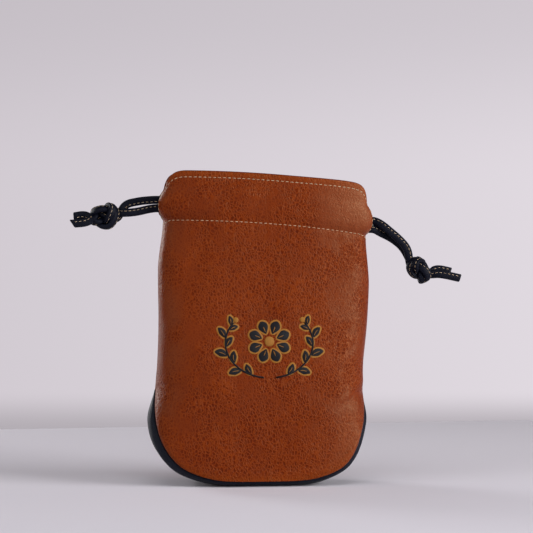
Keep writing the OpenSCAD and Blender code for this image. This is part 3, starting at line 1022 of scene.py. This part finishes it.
def lace_leather(colours):
    """Navy lace leather: fine grain, rubbed along the folded edge."""
    made = finish("lace_leather")
    fine = made.noise(made.place(), 1.1, 4.0, 0.6)
    pore = made.step(made.cells(made.place(), 1.5), 0.0, 0.3)
    fold_edge = made.step(0.0 - made.attribute("across"), 1.5, 2.4)
    rubbed = 0.4 * made.step(fine, 0.4, 0.75) + 0.25 * fold_edge
    colour = made.mix(rubbed, colours.lace, colours.navy_rub)
    height = 0.035 * pore + 0.05 * fine
    return made.surface(colour, 0.42 + 0.2 * fine, height, gloss=0.1)


def suede(colours):
    """Napped facing suede: soft clouds and a short nap, no gloss."""
    made = finish("facing_suede")
    nap = made.noise(made.place(), 2.2, 4.0, 0.7)
    cloud = made.noise(made.place(), 0.12, 3.0, 0.6)
    colour = made.mix(0.6 * cloud + 0.4 * nap, colours.suede_dark, colours.suede)
    return made.surface(colour, 0.93, 0.09 * nap, 0.2, **{"Sheen Weight": 0.25})


def lining_cloth(colours):
    """Plain-woven lining: warp and weft as crossed sine ridges on the cloth's own lengths."""
    made = finish("lining_cloth")
    warp, weft = (made.ripple(name, 0.62) for name in ("across", "along"))
    slub = made.noise(made.place(), 0.5, 3.0, 0.6)
    colour = made.mix(0.45 * warp * weft + 0.5 * slub, colours.lining_dark, colours.lining)
    return made.surface(colour, 0.88, 0.06 * warp + 0.06 * weft, gloss=0.25)


def sewing_thread(colours):
    """Waxed cream thread: fine slanted plies, slightly soiled in places."""
    made = finish("sewing_thread")
    soil = made.noise(made.place(), 0.35, 3.0, 0.6)
    colour = made.mix(made.step(soil, 0.4, 0.75), colours.thread, colours.thread_soil)
    return made.surface(colour, 0.6, 0.05 * made.ripple("along", 0.55))


def satin_thread(name, light, dark):
    """Satin-stitched embroidery: fine threads side by side along the shape."""
    made = finish(name)
    ridge = made.ripple("along", 0.42)
    vary = made.noise(made.place(), 0.9, 3.0, 0.6)
    colour = made.mix(0.55 * ridge + 0.45 * vary, dark, light)
    return made.surface(colour, 0.48 + 0.2 * vary, 0.07 * ridge, gloss=0.2)


def wall_tone(made, colours):
    """Tone of the wall: painted light makes it lighter toward the right of the picture, and painted
    shade darkens it high up and over the table.
    """
    ray = made.node("TexCoord", output="Window")
    across, up = made.parts(ray, "XY")
    plain = made.mix(across, colours.wall, colours.wall_right)
    shaded = 1 - made.step(up, 0.19, 0.27) + 0.42 * made.step(up, 0.65, 1.02)
    return made.mix(shaded, plain, colours.wall_shade)


def stage_floor(colours):
    """Pale table top that ends in a line behind the pouch; past it the plain wall tone is shown."""
    made = finish("table_top")
    here = made.node("TexCoord", output="Object")
    x, y = made.parts(here, "XY")
    away = (x * x + y * y) ** 0.5
    edge = made.step(y - WALL_SLANT * x, WALL_Y, WALL_Y + 0.003)
    beyond = edge.math("MAXIMUM", edge, made.step(away, 0.5, 1.0))
    cloud = made.noise(made.place(), 0.004, 2.0, 0.5)
    # Painted light: the table behind the pouch has its own, slightly lighter tone that eases the lamps'
    # shadow there
    back = made.step(y + 0.03 * cloud, -0.05, 0.06)
    colour = made.mix(back, colours.floor, colours.floor_behind)
    matt = {"Base Color": colour, "Roughness": 0.7, "Specular IOR Level": 0.0}
    table = made.node("BsdfPrincipled", None, matt)
    camera, glossy = (made.node("LightPath", output=f"Is {k} Ray") for k in ("Camera", "Glossy"))
    either = camera + glossy
    seen = either.math("MINIMUM", either, 1.0)
    tone = wall_tone(made, colours)
    plain = made.node("Emission", None, {"Color": tone, "Strength": 1.0})
    dull = made.node("BsdfDiffuse", None, {"Color": tone})
    wall = made.node("MixShader", None, {0: seen, 1: dull, 2: plain})
    both = made.node("MixShader", None, {0: beyond, 1: table, 2: wall})
    made.node("OutputMaterial", None, {"Surface": both}, None)
    return made.owner


def room(colours, sky):
    """Even light from all round, with the plain wall tone where the camera sees past the floor."""
    made = Finish(bpy.data.worlds.new("room"))
    camera = made.node("LightPath", output="Is Camera Ray")
    light = made.node("Background", None, {"Color": (1.0, 0.985, 1.0, 1.0), "Strength": sky})
    plain = made.node("Background", None, {"Color": wall_tone(made, colours)})
    both = made.node("MixShader", None, {0: camera, 1: light, 2: plain})
    made.node("OutputWorld", None, {"Surface": both}, None)
    return made.owner


# What a user would change

def length(name, description, default):
    """A size in metres that a user may set."""
    return FloatProperty(
        name=name, description=description, default=default, unit="LENGTH", precision=5
    )


def colour(name, description, default):
    """A colour that a user may set."""
    return FloatVectorProperty(name=name, description=description, default=default, subtype="COLOR")


def watts(name, description, default):
    """A lamp's power that a user may set."""
    return FloatProperty(name=name, description=description, default=default, unit="POWER")


class PouchSizes(bpy.types.PropertyGroup):
    """Sizes of the sewn and tied detail."""

    leather_step: length("Leather grid", "Spacing of the points that the skins are made of", 0.00115)
    seam_tuck: length("Seam tuck", "How deep the leather turns in at the seams", 0.001)
    waviness: length("Waviness", "Height of the gentle undulation of the skins", 0.00042)
    crease_depth: length("Crease depth", "Height of the soft creases", 0.0009)
    stitch_pitch: length("Stitch pitch", "Distance between topstitches", 0.0029)
    stitch_length: length("Stitch length", "Length of one topstitch", 0.0023)
    thread: length("Thread", "Thickness of the topstitching thread", 0.0004)
    lace_width: length("Lace width", "Width of a lace", 0.005)
    lace_thick: length("Lace thickness", "Thickness of a lace", 0.0031)
    lace_pitch: length("Lace stitch pitch", "Distance between the stitches along a lace", 0.0026)
    lace_stitch: length("Lace stitch length", "Length of one stitch along a lace", 0.002)
    lace_thread: length("Lace thread", "Thickness of the thread along a lace", 0.0003)
    knot_thick: length("Knot spacing", "Distance between the laces pulled up in a knot", 0.0035)
    emblem_width: length("Emblem width", "Width of the embroidered sprig", 0.066)


class PouchColours(bpy.types.PropertyGroup):
    """Colours of leather, thread, cloth and stage."""

    tan_light: colour("Tan, light", "Pale clouds of the tan leather", (0.152, 0.0168, 0.0007))
    tan_dark: colour("Tan, dark", "Dark clouds of the tan leather", (0.112, 0.0092, 0.0002))
    # Painted sheen on the smoother patches of the tan leather
    tan_smooth_sheen: colour("Tan, smooth", "Smooth patches of the tan leather", (0.158, 0.0325, 0.0105))
    tan_rub: colour("Tan, rubbed", "Veins of the tan grain", (0.218, 0.037, 0.0048))
    # Painted highlight on the tan leather, low and high at the right
    tan_painted_highlight: colour("Tan, bloom", "Dull bloom on the tan leather at the right", (0.2, 0.054, 0.0215))
    tan_edge: colour("Tan, worn", "Worn leather along seams and edges", (0.22, 0.04, 0.0045))
    # Also used for the painted shade along the seams
    tan_deep: colour("Tan, pits", "Pits of the tan grain", (0.066, 0.0044, 0.0001))
    navy: colour("Navy", "Gusset leather", (0.0022, 0.003, 0.0088))
    navy_rub: colour("Navy, rubbed", "Rubbed places of the navy leather", (0.0062, 0.008, 0.0165))
    lace: colour("Lace", "Lace leather", (0.0021, 0.0027, 0.0078))
    thread: colour("Thread", "Cream sewing thread", (0.49, 0.37, 0.235))
    thread_soil: colour("Thread, soiled", "Soiled sewing thread", (0.38, 0.24, 0.125))
    ochre: colour("Ochre", "Ochre embroidery thread", (0.36, 0.155, 0.02))
    ochre_dark: colour("Ochre, dark", "Shaded ochre embroidery thread", (0.2, 0.078, 0.009))
    ink: colour("Ink", "Navy embroidery thread", (0.006, 0.006, 0.0095))
    ink_dark: colour("Ink, dark", "Shaded navy embroidery thread", (0.002, 0.002, 0.0035))
    suede: colour("Suede", "Facing inside the collar", (0.24, 0.105, 0.042))
    suede_dark: colour("Suede, dark", "Shaded facing", (0.135, 0.052, 0.02))
    lining: colour("Lining", "Lining cloth", (0.2, 0.15, 0.105))
    lining_dark: colour("Lining, dark", "Shaded lining cloth", (0.095, 0.068, 0.047))
    floor: colour("Table", "Pale table top", (0.7, 0.664, 0.726))
    # Painted: tone of the table behind the pouch, set a little lighter to ease the lamps' shadow
    floor_behind: colour("Table, soft", "Shaded table top", (0.72, 0.68, 0.74))
    wall: colour("Wall", "Wall behind the table, on the left", (0.645, 0.598, 0.645))
    # Painted light: the wall is lighter toward the right
    wall_right: colour("Wall, right", "Wall behind the table, on the right", (0.742, 0.692, 0.742))
    wall_shade: colour("Wall, shaded", "Shaded wall over the table and high up", (0.45, 0.416, 0.45))


class PouchStage(bpy.types.PropertyGroup):
    """Camera and lamps."""

    distance: length("Camera distance", "From the pouch's middle to the camera", 1.2)
    height: length("Camera height", "Height of the camera and of its aim", 0.1317)
    aim_x: length("Aim", "Sideways place that the camera aims at", 0.0026)
    azimuth: FloatProperty(
        name="Azimuth", description="Turn of the camera round the pouch", default=np.radians(-6.6),
        subtype="ANGLE",
    )
    lens: FloatProperty(
        name="Lens", description="Focal length on a 36 mm sensor", default=133.0, unit="CAMERA"
    )
    key: watts("Key lamp", "Softbox at the right front", 26.0)
    fill: watts("Fill lamp", "Softbox at the left front", 6.8)
    top: watts("Top lamp", "Softbox high in front", 7.2)
    rear: watts("Rear lamp", "Softbox at the left back", 11.0)
    sky: FloatProperty(
        name="Room light", description="Even light from all round", default=0.1, subtype="FACTOR"
    )


# Operators

def placed(name, data, place, aim):
    """A lamp or a camera at a place, turned to its aim."""
    holder = bpy.data.objects.new(name, data)
    holder.location = place
    holder.rotation_euler = (Vector(aim) - holder.location).to_track_quat("-Z", "Y").to_euler()
    bpy.context.scene.collection.objects.link(holder)
    return holder


class POUCH_OT_stage(bpy.types.Operator):
    """Adds the camera, the lamps, the table top and the room's light"""

    bl_idname = "pouch.stage"
    bl_label = "Stage"
    # Places of the lamps and the widths of their softboxes, all turned to the pouch's middle
    LAMPS = {
        "key": ((1.2, -0.8, 0.46), 0.85), "fill": ((-1.25, -0.7, 0.6), 1.0),
        "top": ((-0.1, -0.95, 1.45), 1.1), "rear": ((-1.0, 1.15, 0.5), 0.6),
    }
    MIDDLE, TABLE_HALF = (0, 0, 0.09), 6000.0

    def execute(self, context):
        scene, stage, tones = context.scene, context.scene.pouch_stage, context.scene.pouch_colours
        scene.view_settings.view_transform = "Standard"
        camera = bpy.data.cameras.new("camera")
        camera.lens, camera.sensor_width = stage.lens, 36
        aim = Vector((stage.aim_x, 0, stage.height))
        way = Vector((np.sin(stage.azimuth), -np.cos(stage.azimuth), 0))
        scene.camera = placed("camera", camera, aim + stage.distance * way, aim)
        for name, (place, size) in self.LAMPS.items():
            lamp = bpy.data.lights.new(name, "AREA")
            lamp.shape, lamp.size, lamp.energy = "SQUARE", size, getattr(stage, name)
            placed(name, lamp, place, self.MIDDLE).visible_camera = False
        scene.world = room(tones, stage.sky)
        edges = [-self.TABLE_HALF, 0, self.TABLE_HALF]
        x, y = np.meshgrid(edges, edges)
        table = new_piece("table", stack(x, y, 0), quads_of(3, 3), stage_floor(tones))
        return {"FINISHED"}


class POUCH_OT_cords(bpy.types.Operator):
    """Threads both drawcords: runs in the channel, loops, leads and the knotted free ends"""

    bl_idname = "pouch.cords"
    bl_label = "Drawcords"
    # Points round a lace and their step along it, and where leads and free ends bend beside the slit
    RING, STEP = 28, 0.8
    LEAD_BEND, END_BEND = (6.2, 2.6), (3, 4.5)

    def lace(self, name, path, wide, face, width, thick, cut=0.0):
        """A lace of given widths along a path, with its place along and across for the material."""
        a, b = lace_section(self.width, self.thick, self.RING)
        a = a[None] * (width / self.width)[:, None]
        b = b[None] * (thick / self.thick)[:, None]
        points = swept(path, wide, face, a, b, cut)
        along = np.broadcast_to(arc_length(path)[:, None], a.shape)
        piece = tube_piece(name, points, self.leather, along=along, across=a)
        return piece

    def sewn(self, name, path, wide, face, width, thick):
        """Two rows of small stitches in the grooves on both faces of a lace."""
        rows = []
        sizes = self.sizes
        for way in (-1, 1):
            line = path + wide * (LACE_STITCH * width)[:, None]
            line = line + face * (way * (thick / 2 - LACE_GROOVE))[:, None]
            rows.append(spaced(line[1:-1], way * face[1:-1], sizes.lace_pitch / MM))
        return stitches(name, rows, sizes.lace_stitch / MM, sizes.lace_thread / MM, self.thread)

    def plain_lace(self, name, path):
        """A lace that stands on edge, of even width."""
        wide, face = upright_faces(path)
        full = np.full(len(path), self.width)
        return self.lace(name, path, wide, face, full, np.full(len(path), self.thick))

    def lead_thread(self, name, path, hand, start, end):
        """Stitching of a lead: spaced along the drawn-out lace, then drawn back in with it."""
        x = np.linspace(start - 20 * hand, end + 5 * hand, 600)
        out = x + hand * PULL * ramp(start, end, x)
        drawn = path + np.outer(hand * PULL * ramp(start, end, path[:, 0]), [1, 0, 0])
        drawn = evenly(drawn, self.STEP / 2)
        wide, face = upright_faces(drawn)
        full = np.ones(len(drawn))
        thread = self.sewn(name, drawn, wide, face, full * self.width, full * self.thick)
        places = np.empty(3 * len(thread.data.vertices))
        thread.data.vertices.foreach_get("co", places)
        places[::3] = hand * np.interp(hand * places[::3] / MM, hand * out, hand * x) * MM
        thread.data.vertices.foreach_set("co", places)
        return thread

    def free_end(self, hand, side, knot):
        """One free end with its stitching, baked in place of its solids."""
        left = "left" if hand == LEFT else "right"
        name = f"{left}_{'front' if side == FRONT else 'back'}"
        path, tied, mid = strand_path(hand, side, knot, self.STEP)
        wide, face = lace_faces(path, tied, mid)
        turned, slant = TURNED.get((hand, side), (1, 0.1))
        wide, face = wide * turned, face * turned
        width = self.width * (1 + 0.06 * tied)
        thick = np.full(len(path), self.thick)
        slim = 1 - 0.04 * np.exp(-(arc_length(path) / 1.2) ** 2)
        strand = self.lace(f"{name}_end", path, wide, face, width * slim, thick * slim, slant)
        thread = self.sewn(f"{name}_end_stitching", path, wide, face, width, thick)
        origin = exit_middle(hand) * MM
        for piece in (strand, thread):
            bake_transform(piece)
        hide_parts(f"{name}_stem", f"{name}_tail", f"{left}_knot")
        leaves = exit_at(hand, EXIT_H[hand][side]) * MM

    def execute(self, context):
        self.sizes, tones = context.scene.pouch_sizes, context.scene.pouch_colours
        self.width, self.thick = self.sizes.lace_width / MM, self.sizes.lace_thick / MM
        self.leather, self.thread = lace_leather(tones), sewing_thread(tones)
        pair = tied_pair(self.sizes.knot_thick / MM, reach=22.0, n=96, rounds=420)
        knot = dict(zip((FRONT, BACK), pair))
        u = np.linspace(-RUN_U - RUN_OVER, RUN_U + RUN_OVER, 90)
        for hand, left in ((LEFT, "left"), (RIGHT, "right")):
            h = RING_H[hand]
            for side, front in SIDES:
                run = self.plain_lace(f"{left}_{front}_run", evenly(run_point(u, h, side), 1.2))
                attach(run, f"{front}_collar")
                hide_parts(f"{left}_cord_{front}_run")
                path = lead_path(hand, side)
                slit = exit_at(hand, h)[0]
                start, end = (slit - k * hand for k in self.LEAD_BEND)
                path = evenly(path[hand * (path[:, 0] - end) < 0], self.STEP / 2)
                lead = self.plain_lace(f"{left}_{front}_lead_in", path)
                thread = self.lead_thread(f"{left}_{front}_lead_stitching", path, hand, start, end)
                for piece in (lead, thread):
                    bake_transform(piece)
                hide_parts(f"{left}_{front}_lead")
                self.free_end(hand, side, knot)
            loop = self.plain_lace(f"{left}_loop", evenly(loop_path(-hand, h), self.STEP))
            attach(loop, "pouch")
            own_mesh(loop)
            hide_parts(f"{left}_cord_loop")
        return {"FINISHED"}


class POUCH_OT_skins(bpy.types.Operator):
    """Builds the front and back leather skins, each panel in one piece with its collar"""

    bl_idname = "pouch.skins"
    bl_label = "Leather skins"

    def execute(self, context):
        leather = tan_leather(context.scene.pouch_colours)
        for side, front in SIDES:
            skin = Skin(side, context.scene.pouch_sizes)
            piece = closed_shell(
                f"{front}_skin", skin.outer, skin.inner, side == BACK, leather, edge=skin.edge
            )
            collar_blend(piece)
            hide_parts(f"{front}_panel", f"{front}_casing")
        return {"FINISHED"}


def collar_blend(piece):
    """Bakes a piece's transform into its mesh."""
    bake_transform(piece)


class POUCH_OT_gusset(bpy.types.Operator):
    """Builds the navy gusset that makes the bottom and runs to a point up each side"""

    bl_idname = "pouch.gusset"
    bl_label = "Gusset"
    LEFT_FULL, RIGHT_HOLLOW = 1.5, 0.2

    def execute(self, context):
        """Point: the seam line at half width times v, out along its normal by a round-edged band."""
        sizes = context.scene.pouch_sizes
        step = sizes.leather_step / MM
        line = seam_line(TIP_Z - 0.6)
        at = arc_length(line[:, :2])
        line = sampled(edged(at[-1], step), at, line)
        fine = np.sin(np.linspace(-np.pi / 2, np.pi / 2, 3001))
        arc = arc_length(stack(SEAM_HALF * fine, SEAM_Z * band(fine), 0))
        v = np.interp(edged(arc[-1], step), arc, fine)[None]

        base = band_strip(line, v, 0.0)
        normal = grid_normals(base)
        across = grid_run(base, 1)
        side = nearer_end(across, 1)
        edge = np.minimum(side, nearer_end(grid_run(base, 0), 0))
        tuck = np.minimum(sizes.seam_tuck / MM, 0.35 * across[:, -1:])
        x, _, z = np.moveaxis(base, -1, 0)
        full = self.LEFT_FULL * ramp(-30, -52, x) - self.RIGHT_HOLLOW * ramp(30, 52, x)
        bulge = full * np.exp(-(((z - 20) / 20) ** 2)) * ramp(0, 6, side)
        lift = bulge - quarter(side, np.broadcast_to(tuck, side.shape))
        out = quarter(edge, LEATHER_T / 2)
        depths = (out, LEATHER_T - out)
        outer, inner = (band_strip(line, v, o) + normal * lift[..., None] for o in depths)
        leather = navy_leather(context.scene.pouch_colours)
        piece = closed_shell("gusset_strip", outer, inner, True, leather, edge=edge)
        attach(piece, "pouch")
        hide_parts("gusset")
        return {"FINISHED"}


class POUCH_OT_facings(bpy.types.Operator):
    """Builds the suede facings that close the cord channel inside the collar"""

    bl_idname = "pouch.facings"
    bl_label = "Facings"

    def execute(self, context):
        """Depth: close to the leather at both stitch rows, a channel's width away between them."""
        nap = suede(context.scene.pouch_colours)
        low = 3 * GAP
        tall = CASING_H - 2 * low
        h = low + edged(tall, 0.8)[:, None]
        reach = FACING_U + (FACING_TOP_U - FACING_U) * ramp(*FACING_WIDENS, h)
        u = np.linspace(-1, 1, 110)
        close = np.array([0.99, 0.995, 0.998, 0.9995, 1])
        u = np.sort(np.concatenate([-close, u[1:-1], close]))[None] * reach
        depth = LEATHER_T + GAP + 0.25 + CHANNEL * ramp(GAP, LOW_H - LACE_W / 2, h) * (
            1 - ramp(HIGH_H + LACE_W / 2, FACING_CLOSE, h)
        )
        top = low + (h - low) / tall * (rim_h(u) - 2 * low)
        for side, front in SIDES:

            def face(o):
                """Points of the facing, o behind its outer face."""
                w, d = collar_w(top) - depth - o, collar_d(top) - depth - o
                y = lip_y(top) + (d - lip_y(top)) * plan_y(u)
                return sagged(stack(w * plan_x(u), side * y, ROW_Z + top))

            base = face(0.0)
            edge = np.minimum(*(nearer_end(grid_run(base, axis), axis) for axis in (0, 1)))
            out = quarter(edge, FACING_T / 2)
            piece = closed_shell(
                f"{front}_facing_suede", face(out), face(FACING_T - out), side == BACK, nap, edge=edge
            )
            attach(piece, f"{front}_collar")
            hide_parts(f"{front}_facing")
        return {"FINISHED"}


class POUCH_OT_linings(bpy.types.Operator):
    """Hangs the cloth linings inside the panels and over the bottom"""

    bl_idname = "pouch.linings"
    bl_label = "Linings"
    DEPTH, REACH = 3.2, 0.88
    BASE_DEPTH, BASE_REACH = 2.3, 0.84
    THICK = 0.0006

    def cloth(self, name, points, flip, node, material):
        """One layer of cloth with its thickness, attached to the pouch in place of its solid."""
        across = arc_length(points[len(points) // 2])
        along = arc_length(points[:, points.shape[1] // 2])
        faces = quads_of(*points.shape[:2])
        ones = np.ones(points.shape[:2])
        piece = new_piece(
            name, points, faces[:, ::-1] if flip else faces, material,
            across=across[None] * ones, along=along[:, None] * ones,
        )
        thick = piece.modifiers.new("thickness", "SOLIDIFY")
        thick.thickness, thick.offset = self.THICK, 0
        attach(piece, "pouch")
        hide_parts(node)

    def execute(self, context):
        weave = lining_cloth(context.scene.pouch_colours)
        u = np.linspace(-self.REACH, self.REACH, 70)[None]
        low = corner_line(np.linspace(0.3, np.pi / 2, 30))[1]
        z = np.concatenate([low, np.linspace(CORNER_Z, ROW_Z - 2, 50)[1:]])[:, None]
        for side, front in SIDES:
            points = wall(u, z, self.DEPTH, side)
            wave = waves(points[..., 0], z + 0 * u, 7 + side, 6, 50, 20)
            points[..., 1] += side * 0.25 * wave * ramp(0, 8, z - 8)
            self.cloth(f"{front}_lining_cloth", points, side == BACK, f"{front}_lining", weave)
        line = seam_line(0.7 * TIP_Z)
        at = arc_length(line[:, :2])
        line = sampled(np.linspace(0, at[-1], 110), at, line)
        v = np.linspace(-self.BASE_REACH, self.BASE_REACH, 36)[None]
        points = band_strip(line, v, self.BASE_DEPTH)
        self.cloth("base_lining_cloth", points, False, "base_lining", weave)
        return {"FINISHED"}


class POUCH_OT_topstitching(bpy.types.Operator):
    """Sews the rim row, which turns down both slit lips, and the row under the cord channel"""

    bl_idname = "pouch.topstitching"
    bl_label = "Topstitching"
    RIM_INSET, ROW_INSET, ROW_DIP = 3.0, 2.6, 2.2

    def execute(self, context):
        sizes = context.scene.pouch_sizes
        thread = bpy.data.materials["sewing_thread"]
        for side, front in SIDES:
            skin = Skin(side, sizes)
            whole = skin.arc[-1]
            inset = self.RIM_INSET
            over = np.linspace(inset, whole - inset, 1500)
            top = rim_h(np.interp(over, skin.arc, skin.u)) - RIM_STITCH
            up = np.linspace(0.6, top[0], 200)[:-1]
            lip = stack(inset, 0, up)
            rim = np.concatenate([lip, stack(over, 0, top), lip[::-1] * [-1, 1, 1] + [whole, 0, 0]])
            rim = eased(evenly(rim, 0.25), 60)[:, ::2]
            a = np.linspace(self.ROW_INSET, whole - self.ROW_INSET, 1600)
            dip = self.ROW_DIP * (1 - ramp(2, 13, np.minimum(a, whole - a)))
            row = np.stack([a, -dip], 1)
            rows = [spaced(*skin.on_collar(*line.T), sizes.stitch_pitch / MM) for line in (rim, row)]
            seam = f"{front}_topstitching"
            piece = stitches(seam, rows, sizes.stitch_length / MM, sizes.thread / MM, thread)
            collar_blend(piece)
        return {"FINISHED"}


class POUCH_OT_embroidery(bpy.types.Operator):
    """Embroiders a plain flower with two leafy sprays on the front, navy over ochre"""

    bl_idname = "pouch.embroidery"
    bl_label = "Embroidery"
    MIDDLE, DRAWN_WIDTH = (1.7, 85.0), 70
    # Height of each kind of shape over the leather, then of the outline and how far it looks out
    RISE = {"petal": 0.75, "leaf": 0.75, "vein": 0.95, "stem": 0.7, "eye": 0.7, "bud": 0.7}
    OUTLINE, OUTLINE_OUT = 0.35, 0.75
    # Leaves of a spray: share of the stem where they sit, hand that they stand to, and length
    LEAVES = (
        (0.1, 1, 8.5), (0.22, -1, 9.5), (0.36, 1, 9.0), (0.48, -1, 10.0),
        (0.62, 1, 8.5), (0.74, -1, 9.0), (0.88, 1, 7.0), (0.94, -1, 7.0),
    )

    def leaf(self, skin, axis, half, rise, grow):
        """A padded satin shape: a middle line widened to both sides, domed by the root of 1 - w^2.

        Grow widens and lengthens it, for the outline that lies under it.
        """
        along = arc_length(stack(axis[:, 0], 0, axis[:, 1]))
        way = heading(axis)
        stretch = np.linspace(-1, 1, len(axis))[:, None]
        middle = axis + way * stretch * grow
        w = np.sin(np.linspace(-np.pi / 2, np.pi / 2, 11))[None]
        wide = (half + grow * (half > 0) + 0.02)[:, None] * w
        x = middle[:, 0:1] - way[:, 1:2] * wide
        z = middle[:, 1:2] + way[:, 0:1] * wide
        point, normal = skin.on_panel(x, z)
        dome = np.sqrt(np.maximum(0, 1 - w * w)) * np.minimum(1, half / max(half.max(), 1e-6))[:, None]
        top = point + normal * (rise * dome - 0.05)[..., None]
        return top, point - normal * 0.35, np.broadcast_to(along[:, None], x.shape)

    def shapes(self, scale):
        """Middle lines and half widths: a flower of eight petals between two sprays that rise aside.

        Each stem follows an ellipse from under the flower; its leaves stand to both hands in turn and
        shorten toward the bud at its end. Veins lie on the leaves.
        """
        mx, mz = self.MIDDLE
        t = np.linspace(0, 1, 17)
        almond = np.sin(np.pi * t) ** 0.8
        drop_form = np.sin(np.pi * t**1.35) ** 0.75
        disc = np.sqrt(np.maximum(0, 1 - (2 * t - 1) ** 2))
        made = []
        for k in range(8):
            a = np.pi / 4 * k + np.pi / 8
            way = np.array([np.cos(a), np.sin(a)])
            made.append(("petal", (4.6 + 9.4 * t)[:, None] * way + [0, 2], 3.3 * drop_form))
            made.append(("vein", (6.2 + 4.6 * t)[:, None] * way + [0, 2], 0.28 * disc))
        made.append(("eye", np.stack([6.4 * (t - 0.5), 0 * t + 2], 1), 3.2 * disc))
        for hand in (LEFT, RIGHT):
            a = np.radians(-82 + 118 * t)
            stem = np.stack([hand * 28 * np.cos(a), 22 * np.sin(a) + 1], 1)
            made.append(("stem", stem, 0.55 * np.ones(17)))
            way = heading(stem)
            for at, turn, size in self.LEAVES:
                k = int(round(at * 16))
                lean = turn * hand * 0.75
                c, s = np.cos(lean), np.sin(lean)
                ahead = way[k] @ np.array([[c, s], [-s, c]])
                aside = np.array([-ahead[1], ahead[0]])
                curl = -0.09 * turn * hand * size * np.sin(np.pi * t)
                leaf = stem[k] + (size * (0.08 + 0.92 * t))[:, None] * ahead + curl[:, None] * aside
                made.append(("leaf", leaf, 0.25 * size * almond))
                made.append(("vein", leaf[2:13], 0.26 * disc[np.linspace(0, 16, 11).astype(int)]))
            tip = stem[-1] + way[-1] * 2.2
            made.append(("bud", tip + (3.6 * (t - 0.5))[:, None] * way[-1], 1.8 * disc))
        return [(kind, axis * scale + [mx, mz], half * scale) for kind, axis, half in made]

    def execute(self, context):
        scene = context.scene
        tones = scene.pouch_colours
        skin = Skin(FRONT, scene.pouch_sizes)
        scale = scene.pouch_sizes.emblem_width / MM / self.DRAWN_WIDTH
        ochre = satin_thread("ochre_satin", tones.ochre, tones.ochre_dark)
        ink = satin_thread("navy_satin", tones.ink, tones.ink_dark)
        groups = {"emblem_ochre": ([], ochre), "emblem_navy": ([], ink)}
        for kind, axis, half in self.shapes(scale):
            if kind in ("petal", "leaf"):
                outline = self.leaf(skin, axis, half, self.OUTLINE, self.OUTLINE_OUT)
                groups["emblem_ochre"][0].append(outline)
            name = "emblem_navy" if kind in ("petal", "leaf", "stem") else "emblem_ochre"
            groups[name][0].append(self.leaf(skin, axis, half, self.RISE[kind], 0.0))
        for name, (leaves, material) in groups.items():
            made = [
                closed_shell(name, top, under, False, material, along=run) for top, under, run in leaves
            ]
            with context.temp_override(active_object=made[0], selected_editable_objects=made):
                bpy.ops.object.join()
            made[0].name = name
            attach(made[0], "pouch")
        return {"FINISHED"}


class POUCH_PT_panel(bpy.types.Panel):
    """Lists the pouch's steps with their sizes and colours"""

    bl_label = "Leather Pouch"
    bl_idname = "POUCH_PT_panel"
    bl_space_type = "VIEW_3D"
    bl_region_type = "UI"
    bl_category = "Pouch"

    def draw(self, context):
        layout = self.layout
        for step in STEPS:
            layout.operator(step.bl_idname)
        for name in GROUPS:
            group = getattr(context.scene, name)
            box = layout.box()
            for key in group.__annotations__:
                box.prop(group, key)


GROUPS = {"pouch_sizes": PouchSizes, "pouch_colours": PouchColours, "pouch_stage": PouchStage}
STEPS = (
    POUCH_OT_stage, POUCH_OT_cords, POUCH_OT_skins, POUCH_OT_gusset, POUCH_OT_facings,
    POUCH_OT_linings, POUCH_OT_topstitching, POUCH_OT_embroidery,
)


def register():
    for cls in (*GROUPS.values(), *STEPS, POUCH_PT_panel):
        bpy.utils.register_class(cls)
    for name, cls in GROUPS.items():
        setattr(bpy.types.Scene, name, PointerProperty(type=cls))


def unregister():
    for name in GROUPS:
        delattr(bpy.types.Scene, name)
    for cls in reversed((*GROUPS.values(), *STEPS, POUCH_PT_panel)):
        bpy.utils.unregister_class(cls)


def main():
    """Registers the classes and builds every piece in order."""
    register()
    for step in STEPS:
        group, action = step.bl_idname.split(".")
        getattr(getattr(bpy.ops, group), action)()


if __name__ == "__main__":
    main()
